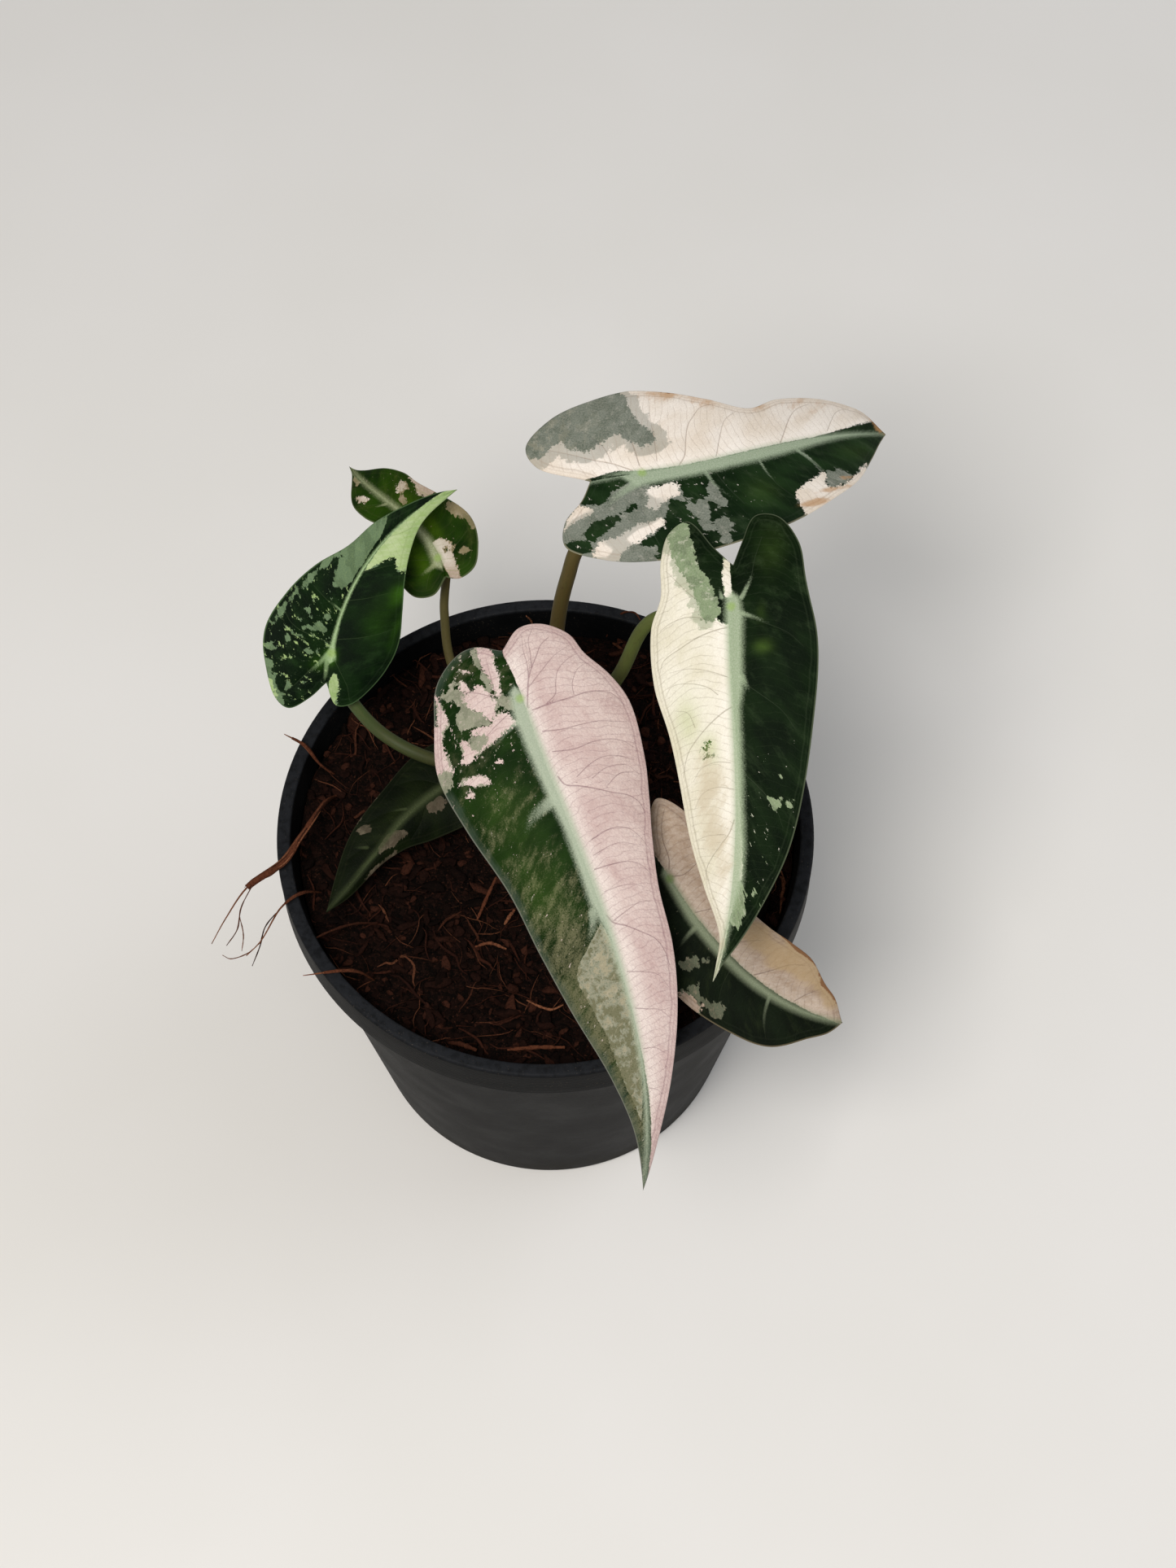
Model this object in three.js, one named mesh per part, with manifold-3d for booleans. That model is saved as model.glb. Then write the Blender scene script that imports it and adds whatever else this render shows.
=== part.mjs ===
// A bambino alocasia with pink, cream and green leaves, growing in a round black nursery pot.
// Millimetres, +Z up. The origin is the middle of the pot's underside, and the front is -Y.
import * as THREE from "three";
import { mergeVertices } from "three/addons/utils/BufferGeometryUtils.js";
import Module from "manifold-3d";

const wasm = await Module();
wasm.setup();

// Driving dimensions of the pot
const POT_HEIGHT = 100;
const RIM_RADIUS = 60;
const BODY_TOP_RADIUS = 58.4;
const FOOT_RADIUS = 44;
const WALL = 1.5;
const FLOOR = 2;
const BAND_DEPTH = 10;
const DRAIN_HOLES = 8;
const DRAIN_RADIUS = 4.5;
const DRAIN_CIRCLE = 31;
const GAP = 0.3;

// Driving dimensions of the soil and the crown
const SOIL_LEVEL = 92;
const SOIL_ROUGHNESS = 1.1;
const CHIP_COUNT = 44;
const CROWN = [1, 10.6];
const CROWN_RADIUS = 6.5;
const CROWN_FOOT = 76;
const CROWN_TOP = 95;

// Driving dimensions that all leaves share
const BLADE_THICKNESS = 0.8;
const NERVE_DEPTH = 0.7;
const QUILT = 0.3;
const VEIN_SLOPE = 0.45;
const SHEATH_SHARE = 0.3;
const SHORTEST_SHEATH = 10;
const LONGEST_SHEATH = 17;
const STALK_END = 0.75;

// Each blade: attach is where its stalk joins it, heading, pitch and roll are degrees at its base,
// middle and tip, fold and curl bend its halves, and each margin runs from the tip round the lobe
// to the notch as [along the nerve, out from it], in mm.
const LEAVES = {
  a: {
    attach: [-5, 5.1, 150], length: 113, notch: 10.5, colour: "#d9bdc0",
    heading: [-70, -69, -101], pitch: [14, 34, 56], roll: [0, 0, 0], lobeDroop: 0.8,
    foldLeft: [2, 0, -4], foldRight: [-4, -14, -10], curlLeft: 0.5, curlRight: 1.3,
    wave: [0.6, 3, 0.1], halfWidth: 22, rows: [26, 7, 4],
    left: [[99, 2.7], [86, 6], [70, 10.5], [54, 12.8], [38, 16.5], [22, 20.5], [9, 21.8], [-1, 18.8],
      [-9, 15], [-14, 10.2], [-14.3, 5]],
    right: [[99, 2.5], [86, 6.3], [70, 12.5], [54, 16.1], [38, 17.8], [22, 20.8], [9, 22.2], [-1, 18.9],
      [-9, 15], [-13.3, 9.5], [-13.5, 4.5]],
    stalk: [[-1, 5.6, 116], [-4, 4.6, 134]], stalkRadius: 1.6, stalkColour: "#6f7a4a",
  },
  b: {
    attach: [39, 16.6, 168], length: 80, notch: 8.2, colour: "#7f9070",
    heading: [-93, -89, -114], pitch: [16, 32, 50], roll: [-12, -12, -12], lobeDroop: 0.6,
    foldLeft: [8, 4, 0], foldRight: [8, 4, 0], curlLeft: 0.9, curlRight: 0.9,
    wave: [0.5, 2.5, 0.3], halfWidth: 17, rows: [22, 8, 5],
    left: [[76, 0.8], [70, 3.2], [60, 7.2], [49, 11.3], [27, 16], [8, 17.9], [-5, 15.3], [-13, 13.5],
      [-18.6, 9], [-18.9, 4.2], [-13, 1.6]],
    right: [[76, 0.5], [70, 1.2], [60, 6], [49, 9.8], [27, 13.5], [16, 16.4], [5, 16.8], [-1, 14.9],
      [-9.5, 15.2], [-16, 13.8], [-18.5, 10], [-12, 4]],
    stalk: [[8, 15.6, 116], [16.3, 19.6, 134], [23.6, 22.1, 153]], stalkRadius: 1.5, stalkColour: "#6c7a45",
  },
  c: {
    attach: [20, 47.1, 170], length: 67, notch: 10.3, colour: "#b8b3a0",
    heading: [12, 30, 24], pitch: [4, 22, 36], roll: [-6, -6, -6], lobeDroop: 0.4,
    foldLeft: [6, 4, 0], foldRight: [4, 2, 0], curlLeft: 0.6, curlRight: 0.8,
    wave: [0.5, 2, 0.6], halfWidth: 19, rows: [20, 8, 5],
    left: [[63.5, 6], [59, 8.3], [51, 10.6], [41, 11.6], [32, 10.4], [23, 14.5], [13, 18.7], [4, 20.2],
      [-6, 18.7], [-15.5, 16], [-21.8, 10.6], [-20.5, 5.5]],
    right: [[63.5, 2.7], [59, 6.3], [51, 11.6], [41, 15], [23, 18.9], [0, 19.8], [-11, 18.2], [-18.5, 13.8],
      [-17.5, 8.5], [-13, 4.2]],
    stalk: [[1.5, 25.6, 113], [2.8, 35.6, 129], [5.2, 37.1, 146], [8, 39.1, 156]],
    stalkRadius: 1.65, stalkColour: "#857a52",
  },
  d: {
    attach: [-47, 27.6, 128], length: 48.5, notch: 5.8, colour: "#2f4a34",
    heading: [79, 51, 28], pitch: [-30, -20, 5], roll: [-20, -20, -20], lobeDroop: 0.6,
    foldLeft: [6, 8, 10], foldRight: [6, 8, 10], curlLeft: 0.8, curlRight: 0.8,
    wave: [0.6, 2.5, 0], halfWidth: 14, rows: [16, 7, 4],
    left: [[45, 1], [37, 2.6], [30, 4.3], [23, 5.6], [16.5, 9.6], [10, 12.9], [3, 15.3], [-4.4, 13.6],
      [-10.4, 10.7], [-12.2, 7.5], [-9.5, 3.2]],
    right: [[45, 1], [37, 2.9], [30, 6.1], [23, 9.4], [16.5, 12], [8, 14], [0, 13], [-6, 9.8],
      [-9.9, 6], [-10.4, 2.8]],
    stalk: [[-11, 10.6, 109], [-24.5, 9.6, 114], [-34.8, 13.6, 117], [-42.5, 22.1, 117]],
    stalkRadius: 1.45, stalkColour: "#5f7d3f",
  },
  e: {
    attach: [-23.5, 51.1, 130], length: 36.5, notch: 4.2, colour: "#5d6b37",
    heading: [111, 134, 115], pitch: [-8, 8, 20], roll: [20, 20, 20], lobeDroop: 0.6,
    foldLeft: [4, 2, 0], foldRight: [4, 2, 0], curlLeft: 0.8, curlRight: 0.8,
    wave: [0.5, 2, 0.4], halfWidth: 10, rows: [13, 6, 4],
    left: [[34, 0.6], [32, 1.9], [27.5, 5.5], [22.5, 6.1], [17.5, 5.6], [12.4, 7.3], [5, 9.9], [0, 10.2],
      [-5.3, 8.2], [-6.8, 4]],
    right: [[34, 0.9], [32, 2.2], [27.5, 5.7], [22.5, 7.5], [17.5, 7.6], [12.4, 8.6], [5, 10.8], [0, 9.7],
      [-4.7, 7.2], [-5.8, 3]],
    stalk: [[-11, 26.6, 99], [-21, 37.6, 105], [-23, 46.6, 116]], stalkRadius: 1.05, stalkColour: "#7d7048",
  },
  f: {
    attach: [-18.7, 9.4, 105], length: 43, notch: 4.7, colour: "#3a4a38",
    heading: [206, 231, 223], pitch: [0, 9, 14], roll: [8, 8, 8], lobeDroop: 0.6,
    foldLeft: [0, -30, -40], foldRight: [4, 2, 0], curlLeft: 0.8, curlRight: 0.8,
    wave: [0.4, 2, 0.2], halfWidth: 10, rows: [13, 6, 4],
    left: [[37, 1.6], [27, 2.6], [20.5, 4.6], [14, 7.6], [3.4, 9.8], [-3, 8.8], [-6.4, 5]],
    right: [[37, 3.3], [27, 7.1], [14, 8.6], [4, 10.5], [-3, 9.3], [-7.2, 5.2]],
    stalk: [[-8, 8.6, 96.5]], stalkRadius: 1.1, stalkColour: "#5e6b3d",
  },
  g: {
    attach: [26.5, -22.9, 122], length: 50.5, notch: 6, colour: "#7b6a52",
    heading: [-52, -40, -7], pitch: [34, 18, 8], roll: [-16, -16, -16], lobeDroop: 0.6,
    foldLeft: [4, 2, 0], foldRight: [4, 2, 0], curlLeft: 0.8, curlRight: 0.8,
    wave: [0.4, 2, 0.5], halfWidth: 12, rows: [16, 7, 5],
    left: [[48, 4.7], [44.5, 7.2], [38.5, 11], [31, 11.6], [24, 10.8], [10, 9.7], [-3, 10.2], [-10, 10.1],
      [-15, 6.8], [-12, 2.8]],
    right: [[48, 2.8], [44.5, 5.2], [38.5, 10.2], [31, 12], [20, 13.6], [4, 12.1], [-4, 11], [-11, 9.6],
      [-14, 6], [-11, 2.4]],
    stalk: [[9, 0.6, 101], [17, -9.4, 108]], stalkRadius: 1.3, stalkColour: "#66753f",
  },
};

const radians = THREE.MathUtils.degToRad;
const clamp = THREE.MathUtils.clamp;

// A repeatable random number between 0 and 1.
function seeded(seed) {
  let state = seed;
  return () => {
    state = (state * 1664525 + 1013904223) % 4294967296;
    return state / 4294967296;
  };
}

// The parabola through three equally spaced values, at a share from 0 to 1.
function through([first, middle, last], share) {
  const rise = 4 * middle - 3 * first - last;
  const bend = 2 * first + 2 * last - 4 * middle;
  return first + rise * share + bend * share * share;
}

// Vertices and faces as a closed mesh with alike vertices joined and empty faces dropped.
function closedGeometry(points, faces) {
  const loose = new THREE.BufferGeometry().setAttribute(
    "position",
    new THREE.Float32BufferAttribute(points.flatMap((p) => [p.x, p.y, p.z]), 3),
  );
  loose.setIndex(faces.flat());
  const merged = mergeVertices(loose, 1e-3);
  const kept = [];
  const index = merged.index.array;
  for (let i = 0; i < index.length; i += 3) {
    const [a, b, c] = [index[i], index[i + 1], index[i + 2]];
    if (a !== b && b !== c && c !== a) kept.push(a, b, c);
  }
  merged.setIndex(kept);
  return merged;
}

function toSolid(geometry) {
  const bare = geometry.clone();
  bare.deleteAttribute("normal");
  bare.deleteAttribute("uv");
  const merged = mergeVertices(bare, 1e-3);
  return new wasm.Manifold(
    new wasm.Mesh({
      numProp: 3,
      vertProperties: merged.attributes.position.array,
      triVerts: new Uint32Array(merged.index.array),
    }),
  );
}

function toGeometry(solid) {
  const mesh = solid.getMesh();
  const geometry = new THREE.BufferGeometry();
  geometry.setAttribute("position", new THREE.Float32BufferAttribute(mesh.vertProperties, 3));
  geometry.setIndex([...mesh.triVerts]);
  return geometry;
}

// The largest connected piece of a solid, without its loose scraps.
function wholePiece(solid) {
  return solid.decompose().sort((one, other) => other.volume() - one.volume())[0];
}

// A round bar along a curve, with its radius given for each share of the length.
function taperedBar(curve, radiusAt, steps, sides) {
  const frames = curve.computeFrenetFrames(steps, false);
  const points = [];
  const faces = [];
  for (let i = 0; i <= steps; i++) {
    const centre = curve.getPointAt(i / steps);
    for (let k = 0; k < sides; k++) {
      const turn = (2 * Math.PI * k) / sides;
      points.push(
        centre
          .clone()
          .addScaledVector(frames.normals[i], Math.cos(turn) * radiusAt(i / steps))
          .addScaledVector(frames.binormals[i], Math.sin(turn) * radiusAt(i / steps)),
      );
    }
  }
  for (let i = 0; i < steps; i++)
    for (let k = 0; k < sides; k++) {
      const [a, b] = [i * sides + k, i * sides + ((k + 1) % sides)];
      faces.push([a, b, b + sides], [a, b + sides, a + sides]);
    }
  const first = points.push(curve.getPointAt(0)) - 1;
  const last = points.push(curve.getPointAt(1)) - 1;
  for (let k = 0; k < sides; k++) {
    const next = (k + 1) % sides;
    faces.push([first, next, k], [last, steps * sides + k, steps * sides + next]);
  }
  return closedGeometry(points, faces);
}

// The inner radius of the pot's tapered wall at a height.
function innerRadius(height) {
  const share = height / POT_HEIGHT;
  return FOOT_RADIUS + (BODY_TOP_RADIUS - FOOT_RADIUS) * share - WALL;
}

function makePot() {
  const bandFoot = POT_HEIGHT - BAND_DEPTH;
  const outer = (height) => innerRadius(height) + WALL;
  const profile = [
    [0, 0], [FOOT_RADIUS - 1.5, 0], [FOOT_RADIUS, 1.5], [outer(bandFoot), bandFoot],
    [RIM_RADIUS - 0.5, bandFoot], [RIM_RADIUS, bandFoot + 0.6], [RIM_RADIUS, POT_HEIGHT - 0.8],
    [RIM_RADIUS - 0.8, POT_HEIGHT], [innerRadius(POT_HEIGHT) + 0.6, POT_HEIGHT],
    [innerRadius(POT_HEIGHT - 1.2), POT_HEIGHT - 1.2], [innerRadius(FLOOR), FLOOR], [0, FLOOR],
  ];
  const lathe = new THREE.LatheGeometry(profile.map(([r, z]) => new THREE.Vector2(r, z)), 56);
  lathe.rotateX(Math.PI / 2);
  let solid = toSolid(lathe);
  for (let i = 0; i < DRAIN_HOLES; i++) {
    const turn = ((i + 0.5) * 2 * Math.PI) / DRAIN_HOLES;
    const drill = new THREE.CylinderGeometry(DRAIN_RADIUS, DRAIN_RADIUS, 3 * FLOOR, 12);
    drill.rotateX(Math.PI / 2);
    drill.translate(DRAIN_CIRCLE * Math.cos(turn), DRAIN_CIRCLE * Math.sin(turn), FLOOR / 2);
    solid = solid.subtract(toSolid(drill));
  }
  return toGeometry(solid);
}

// The height of the soil's loose top: low swells with a little noise.
function soilHeight(x, y, noise) {
  const swell = Math.sin(x / 9 + 1.3) * Math.cos(y / 11 - 0.6) + 0.6 * Math.sin((x - y) / 6.5);
  return SOIL_LEVEL + SOIL_ROUGHNESS * swell + 0.9 * (noise - 0.5);
}

function soilBody(random) {
  const rings = 8;
  const sectors = 44;
  const foot = FLOOR + GAP;
  const edge = innerRadius(SOIL_LEVEL) - 0.8;
  const points = [new THREE.Vector3(0, 0, soilHeight(0, 0, 0.5))];
  const faces = [];
  for (let i = 1; i <= rings; i++)
    for (let k = 0; k < sectors; k++) {
      const turn = (2 * Math.PI * k) / sectors;
      const [x, y] = [(edge * i * Math.cos(turn)) / rings, (edge * i * Math.sin(turn)) / rings];
      points.push(new THREE.Vector3(x, y, soilHeight(x, y, random())));
    }
  for (let k = 0; k < sectors; k++) {
    const turn = (2 * Math.PI * k) / sectors;
    const radius = innerRadius(foot) - 0.35;
    points.push(new THREE.Vector3(radius * Math.cos(turn), radius * Math.sin(turn), foot));
  }
  const bottom = points.push(new THREE.Vector3(0, 0, foot)) - 1;
  for (let k = 0; k < sectors; k++) {
    const next = (k + 1) % sectors;
    faces.push([0, 1 + k, 1 + next], [bottom, 1 + rings * sectors + next, 1 + rings * sectors + k]);
    for (let i = 0; i < rings; i++) {
      const [a, b] = [1 + i * sectors + k, 1 + i * sectors + next];
      faces.push([a, a + sectors, b + sectors], [a, b + sectors, b]);
    }
  }
  return toSolid(closedGeometry(points, faces));
}

// One chip of coir husk, a flat slanted block sunk about half in the soil.
function huskChip(random) {
  const size = [5 + 6 * random(), 2.5 + 3 * random(), 1.8 + 1.4 * random()];
  const chip = new THREE.BoxGeometry(...size);
  chip.rotateX(0.7 * (random() - 0.5));
  chip.rotateY(0.7 * (random() - 0.5));
  chip.rotateZ(Math.PI * random());
  const radius = (innerRadius(SOIL_LEVEL) - 8) * Math.sqrt(0.05 + 0.95 * random());
  const turn = 2 * Math.PI * random();
  const [x, y] = [radius * Math.cos(turn), radius * Math.sin(turn)];
  chip.translate(x, y, soilHeight(x, y, 0.5) + 0.2);
  return chip;
}

// Loose coir strands, bedded in the soil at one end and hanging over the rim at the other.
const STRANDS = {
  long: {
    radius: 1.1,
    route: [[-47, 13.6, 90], [-50, 6.6, 98.5], [-54, -2.9, 101.8], [-58, -10.1, 102.2], [-65.3, -15.7, 102],
      [-70.3, -21.9, 98.5], [-73.5, -26.4, 95]],
  },
  back: {
    radius: 0.5,
    route: [[-47, 17.6, 90], [-51.5, 17.1, 98.5], [-54.5, 19.9, 101.6], [-59.2, 22.4, 102.5]],
  },
  short: {
    radius: 0.5,
    route: [[-49, -11.4, 90], [-53, -15.9, 99.5], [-55, -17.9, 101.6], [-58, -20.9, 101.6], [-62.3, -27.4, 98.5],
      [-65.5, -30, 96.5]],
  },
  front: {
    radius: 0.5,
    route: [[-37, -33.4, 90], [-40.5, -35.2, 99.5], [-43, -35.8, 101.6], [-52.3, -36.9, 101.3]],
  },
};

function makeStrand({ radius, route }, clearance = 0) {
  const points = route.map((p) => new THREE.Vector3(...p));
  const backwards = points[0].clone().sub(points[1]).normalize();
  points[0].addScaledVector(backwards, clearance);
  const curve = new THREE.CatmullRomCurve3(points);
  return taperedBar(curve, (share) => radius * (1 - 0.6 * share) + clearance, 12, 5);
}

function makeSoil() {
  const random = seeded(11);
  let solid = soilBody(random);
  for (let i = 0; i < CHIP_COUNT; i++) solid = solid.add(toSolid(huskChip(random)));
  for (const one of Object.values(STRANDS)) solid = solid.subtract(toSolid(makeStrand(one, GAP)));
  const hole = new THREE.CylinderGeometry(CROWN_RADIUS + GAP, CROWN_RADIUS + GAP, 60, 16);
  hole.rotateX(Math.PI / 2);
  hole.translate(CROWN[0], CROWN[1], CROWN_FOOT - GAP + 30);
  return toGeometry(wholePiece(solid.subtract(toSolid(hole))));
}

// The direction along a blade, to its right and out of its upper side, at a length from its stalk.
function bladeAxes(leaf, s) {
  const share = clamp(s / leaf.length, 0, 1);
  const pitch = radians(through(leaf.pitch, share) + leaf.lobeDroop * Math.min(s, 0));
  const heading = radians(through(leaf.heading, share));
  const roll = radians(through(leaf.roll, share));
  const ahead = new THREE.Vector3(
    Math.cos(pitch) * Math.cos(heading), Math.cos(pitch) * Math.sin(heading), -Math.sin(pitch),
  );
  const level = new THREE.Vector3(Math.sin(heading), -Math.cos(heading), 0);
  const above = new THREE.Vector3().crossVectors(level, ahead);
  const right = level.multiplyScalar(Math.cos(roll)).addScaledVector(above, Math.sin(roll));
  return { ahead, right, up: new THREE.Vector3().crossVectors(right, ahead) };
}

// A blade's middle surface as a function of the length along the nerve and the width from it.
function bladeSurface(leaf) {
  const steps = 60;
  const step = leaf.length / steps;
  const nerve = [new THREE.Vector3(...leaf.attach)];
  for (let i = 0; i < steps; i++)
    nerve.push(nerve[i].clone().addScaledVector(bladeAxes(leaf, (i + 0.5) * step).ahead, step));
  const onNerve = (s) => {
    if (s <= 0) return nerve[0].clone().addScaledVector(bladeAxes(leaf, s / 2).ahead, s);
    const i = Math.min(Math.floor(s / step), steps - 1);
    return nerve[i].clone().lerp(nerve[i + 1], s / step - i);
  };
  return (s, t) => {
    const { right, up } = bladeAxes(leaf, s);
    const share = clamp(s / leaf.length, 0, 1);
    const side = t < 0 ? -1 : 1;
    const fold = radians(through(side < 0 ? leaf.foldLeft : leaf.foldRight, share));
    const curl = radians(side < 0 ? leaf.curlLeft : leaf.curlRight);
    const width = Math.abs(t);
    const out = (Math.sin(fold) - Math.sin(fold - curl * width)) / curl;
    const rise = (Math.cos(fold - curl * width) - Math.cos(fold)) / curl;
    const [height, count, start] = leaf.wave;
    const turn = 2 * Math.PI * ((count * s) / leaf.length + start + 0.13 * side);
    const ripple = height * (width / leaf.halfWidth) ** 2 * Math.sin(turn);
    return onNerve(s).addScaledVector(right, side * out).addScaledVector(up, rise + ripple);
  };
}

// The rows of one half: each runs from the nerve, or from the stalk in the lobe, to the margin.
function halfRows(leaf, margin) {
  const ends = [[leaf.length, 0], ...margin, [-leaf.notch, 0]];
  const outline = new THREE.CatmullRomCurve3(
    ends.map(([s, t]) => new THREE.Vector3(s, t, 0)), false, "centripetal",
  ).getPoints(400);
  const [mainRows, fanRows, notchRows] = leaf.rows;
  const lead = (p) => p.x - VEIN_SLOPE * p.y;
  const rows = [];
  let at = 0;
  for (let i = 0; i <= mainRows; i++) {
    const start = leaf.length * (1 - i / mainRows);
    while (at < outline.length - 1 && lead(outline[at]) > start) at++;
    rows.push({ start, end: outline[at] });
  }
  let back = at;
  for (let i = at; i < outline.length; i++) if (outline[i].x < outline[back].x) back = i;
  for (let i = 1; i <= fanRows; i++)
    rows.push({ start: 0, end: outline[Math.round(at + ((back - at) * i) / fanRows)] });
  for (let i = 1; i <= notchRows; i++) {
    const share = i / notchRows;
    const end = outline[Math.round(back + (outline.length - 1 - back) * share)];
    rows.push({ start: -leaf.notch * share, end });
  }
  return rows;
}

// A blade with its nerve standing out below, its lateral veins sunk, and its margin waved.
function makeBlade(leaf) {
  const surface = bladeSurface(leaf);
  const acrossShares = [0, 0.1, 0.4, 0.72, 1];
  const columns = acrossShares.length;
  const points = [];
  const faces = [];
  for (const [side, margin] of [[-1, leaf.left], [1, leaf.right]]) {
    const rows = halfRows(leaf, margin);
    const base = points.length;
    const layer = rows.length * columns;
    const tops = [];
    const bottoms = [];
    rows.forEach(({ start, end }, row) => {
      acrossShares.forEach((share) => {
        const s = start + (end.x - start) * share;
        const t = side * end.y * share;
        const middle = surface(s, t);
        const { up } = bladeAxes(leaf, s);
        const quilt = QUILT * Math.sin(Math.PI * share) * (row % 3 === 0 ? 0 : 1);
        const nerve = NERVE_DEPTH * Math.max(0, 1 - share / 0.1) * clamp((leaf.length - s) / 30, 0.3, 1);
        tops.push(middle.clone().addScaledVector(up, BLADE_THICKNESS / 2 + quilt));
        bottoms.push(middle.clone().addScaledVector(up, quilt - BLADE_THICKNESS / 2 - nerve));
      });
    });
    points.push(...tops, ...bottoms);
    const turn = (face) => (side < 0 ? face : [face[0], face[2], face[1]]);
    for (let row = 0; row < rows.length - 1; row++)
      for (let k = 0; k < columns - 1; k++) {
        const a = base + row * columns + k;
        const [b, c, d] = [a + 1, a + columns + 1, a + columns];
        faces.push(turn([a, b, c]), turn([a, c, d]));
        faces.push(turn([a + layer, c + layer, b + layer]), turn([a + layer, d + layer, c + layer]));
      }
    for (let row = 0; row < rows.length - 1; row++) {
      const a = base + (row + 1) * columns - 1;
      const b = a + columns;
      faces.push(turn([a, b + layer, b]), turn([a, a + layer, b + layer]));
    }
  }
  return closedGeometry(points, faces);
}

// The whole route of a stalk, from the crown's middle to just under its blade.
function stalkRoute(leaf) {
  const { up } = bladeAxes(leaf, 0);
  const attach = new THREE.Vector3(...leaf.attach);
  const underside = BLADE_THICKNESS / 2 + NERVE_DEPTH + GAP;
  return new THREE.CatmullRomCurve3(
    [
      new THREE.Vector3(CROWN[0], CROWN[1], SOIL_LEVEL),
      ...leaf.stalk.map((p) => new THREE.Vector3(...p)),
      attach.clone().addScaledVector(up, -underside - 3 * leaf.stalkRadius),
      attach.clone().addScaledVector(up, -underside),
    ],
    false,
    "centripetal",
  );
}

// The part of a route between two shares of its length.
function routePart(route, from, to) {
  const count = 12;
  const shares = Array.from({ length: count + 1 }, (_, i) => from + ((to - from) * i) / count);
  const points = shares.map((share) => route.getPointAt(Math.min(share, 1)));
  return new THREE.CatmullRomCurve3(points, false, "centripetal");
}

function sheathShare(route) {
  const length = route.getLength();
  return clamp(SHEATH_SHARE * length, SHORTEST_SHEATH, LONGEST_SHEATH) / length;
}

function makeStalk(leaf) {
  const route = stalkRoute(leaf);
  const start = sheathShare(route) + GAP / route.getLength();
  const radiusAt = (share) => leaf.stalkRadius * (share > 0.97 ? STALK_END : 1.12 - 0.2 * share);
  const steps = Math.max(8, Math.round(route.getLength() / 5));
  return taperedBar(routePart(route, start, 1), radiusAt, steps, 8);
}

// The crown: a short stem in its hole in the soil, with the sheath of each stalk grown out of it.
function makeCrown() {
  const height = CROWN_TOP - CROWN_FOOT;
  const profile = [
    [0, 0], [0.6, 0], [0.85, 0.15], [1, 0.4], [1, 0.8], [0.75, 0.95], [0, 1],
  ].map(([r, z]) => new THREE.Vector2(r * CROWN_RADIUS, z * height));
  const stem = new THREE.LatheGeometry(profile, 12);
  stem.rotateX(Math.PI / 2);
  stem.translate(CROWN[0], CROWN[1], CROWN_FOOT);
  let solid = toSolid(stem);
  for (const leaf of Object.values(LEAVES)) {
    const route = stalkRoute(leaf);
    const radiusAt = (share) => leaf.stalkRadius * (1.9 - 0.65 * share);
    const sheath = taperedBar(routePart(route, 0, sheathShare(route)), radiusAt, 5, 8);
    solid = solid.add(toSolid(sheath));
  }
  return toGeometry(wholePiece(solid));
}

function addPiece(group, name, geometry, colour, roughness) {
  geometry.computeVertexNormals();
  const material = new THREE.MeshStandardMaterial({ color: colour, roughness, metalness: 0 });
  const mesh = new THREE.Mesh(geometry, material);
  mesh.name = name;
  group.add(mesh);
}

const plant = new THREE.Group();
addPiece(plant, "pot", makePot(), "#141416", 0.45);
addPiece(plant, "soil", makeSoil(), "#2a1712", 0.95);
addPiece(plant, "crown", makeCrown(), "#6b5b3c", 0.7);
for (const [place, one] of Object.entries(STRANDS))
  addPiece(plant, `strand_${place}`, makeStrand(one), "#7a4428", 0.8);
for (const [letter, leaf] of Object.entries(LEAVES)) {
  addPiece(plant, `stalk_${letter}`, makeStalk(leaf), leaf.stalkColour, 0.5);
  addPiece(plant, `blade_${letter}`, makeBlade(leaf), leaf.colour, 0.45);
}

export default plant;
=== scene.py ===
"""Looks of a potted bambino alocasia: seven half-pink, cream and green leaves over coir in a black pot.

Lengths are in millimetres until a mesh is made. A blade is described as in its solid: s runs along
the nerve from the stalk to the tip, and t out from the nerve, to the blade's right where positive.
"""

import math

import bpy
import numpy as np
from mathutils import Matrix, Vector, noise


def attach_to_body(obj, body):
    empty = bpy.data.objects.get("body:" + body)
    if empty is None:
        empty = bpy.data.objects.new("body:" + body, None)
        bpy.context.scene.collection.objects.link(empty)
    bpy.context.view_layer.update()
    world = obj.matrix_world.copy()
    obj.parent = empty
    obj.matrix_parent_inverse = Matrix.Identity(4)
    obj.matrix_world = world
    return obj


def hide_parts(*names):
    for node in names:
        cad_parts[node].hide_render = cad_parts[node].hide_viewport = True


MM = 0.001

# The photograph's view
VIEW_ELEVATION = 61.8
VIEW_TARGET = (9.5, 10.94, 100.0)
VIEW_DISTANCE = 650.0
FOCAL_PIXELS = 3548.0
IMAGE_LONG_SIDE = 1927
SENSOR = 36.0
NEAREST_SEEN = 0.01

# The floor's reach, the even light all round and the lamps, each with its place, width and power
FLOOR_REACH = 40000.0
WORLD_TONE = "#f2f1ef"
WORLD_STRENGTH = 0.36
LIGHT_TARGET = (0, 0, 0.12)
LIGHTS = {
    "key": ((-0.2, -0.42, 0.95), 0.4, 7.4, "#fffaf4"),
    "fill": ((0.9, 0.3, 0.8), 0.9, 3.0, "#f3f7ff"),
}

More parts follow.
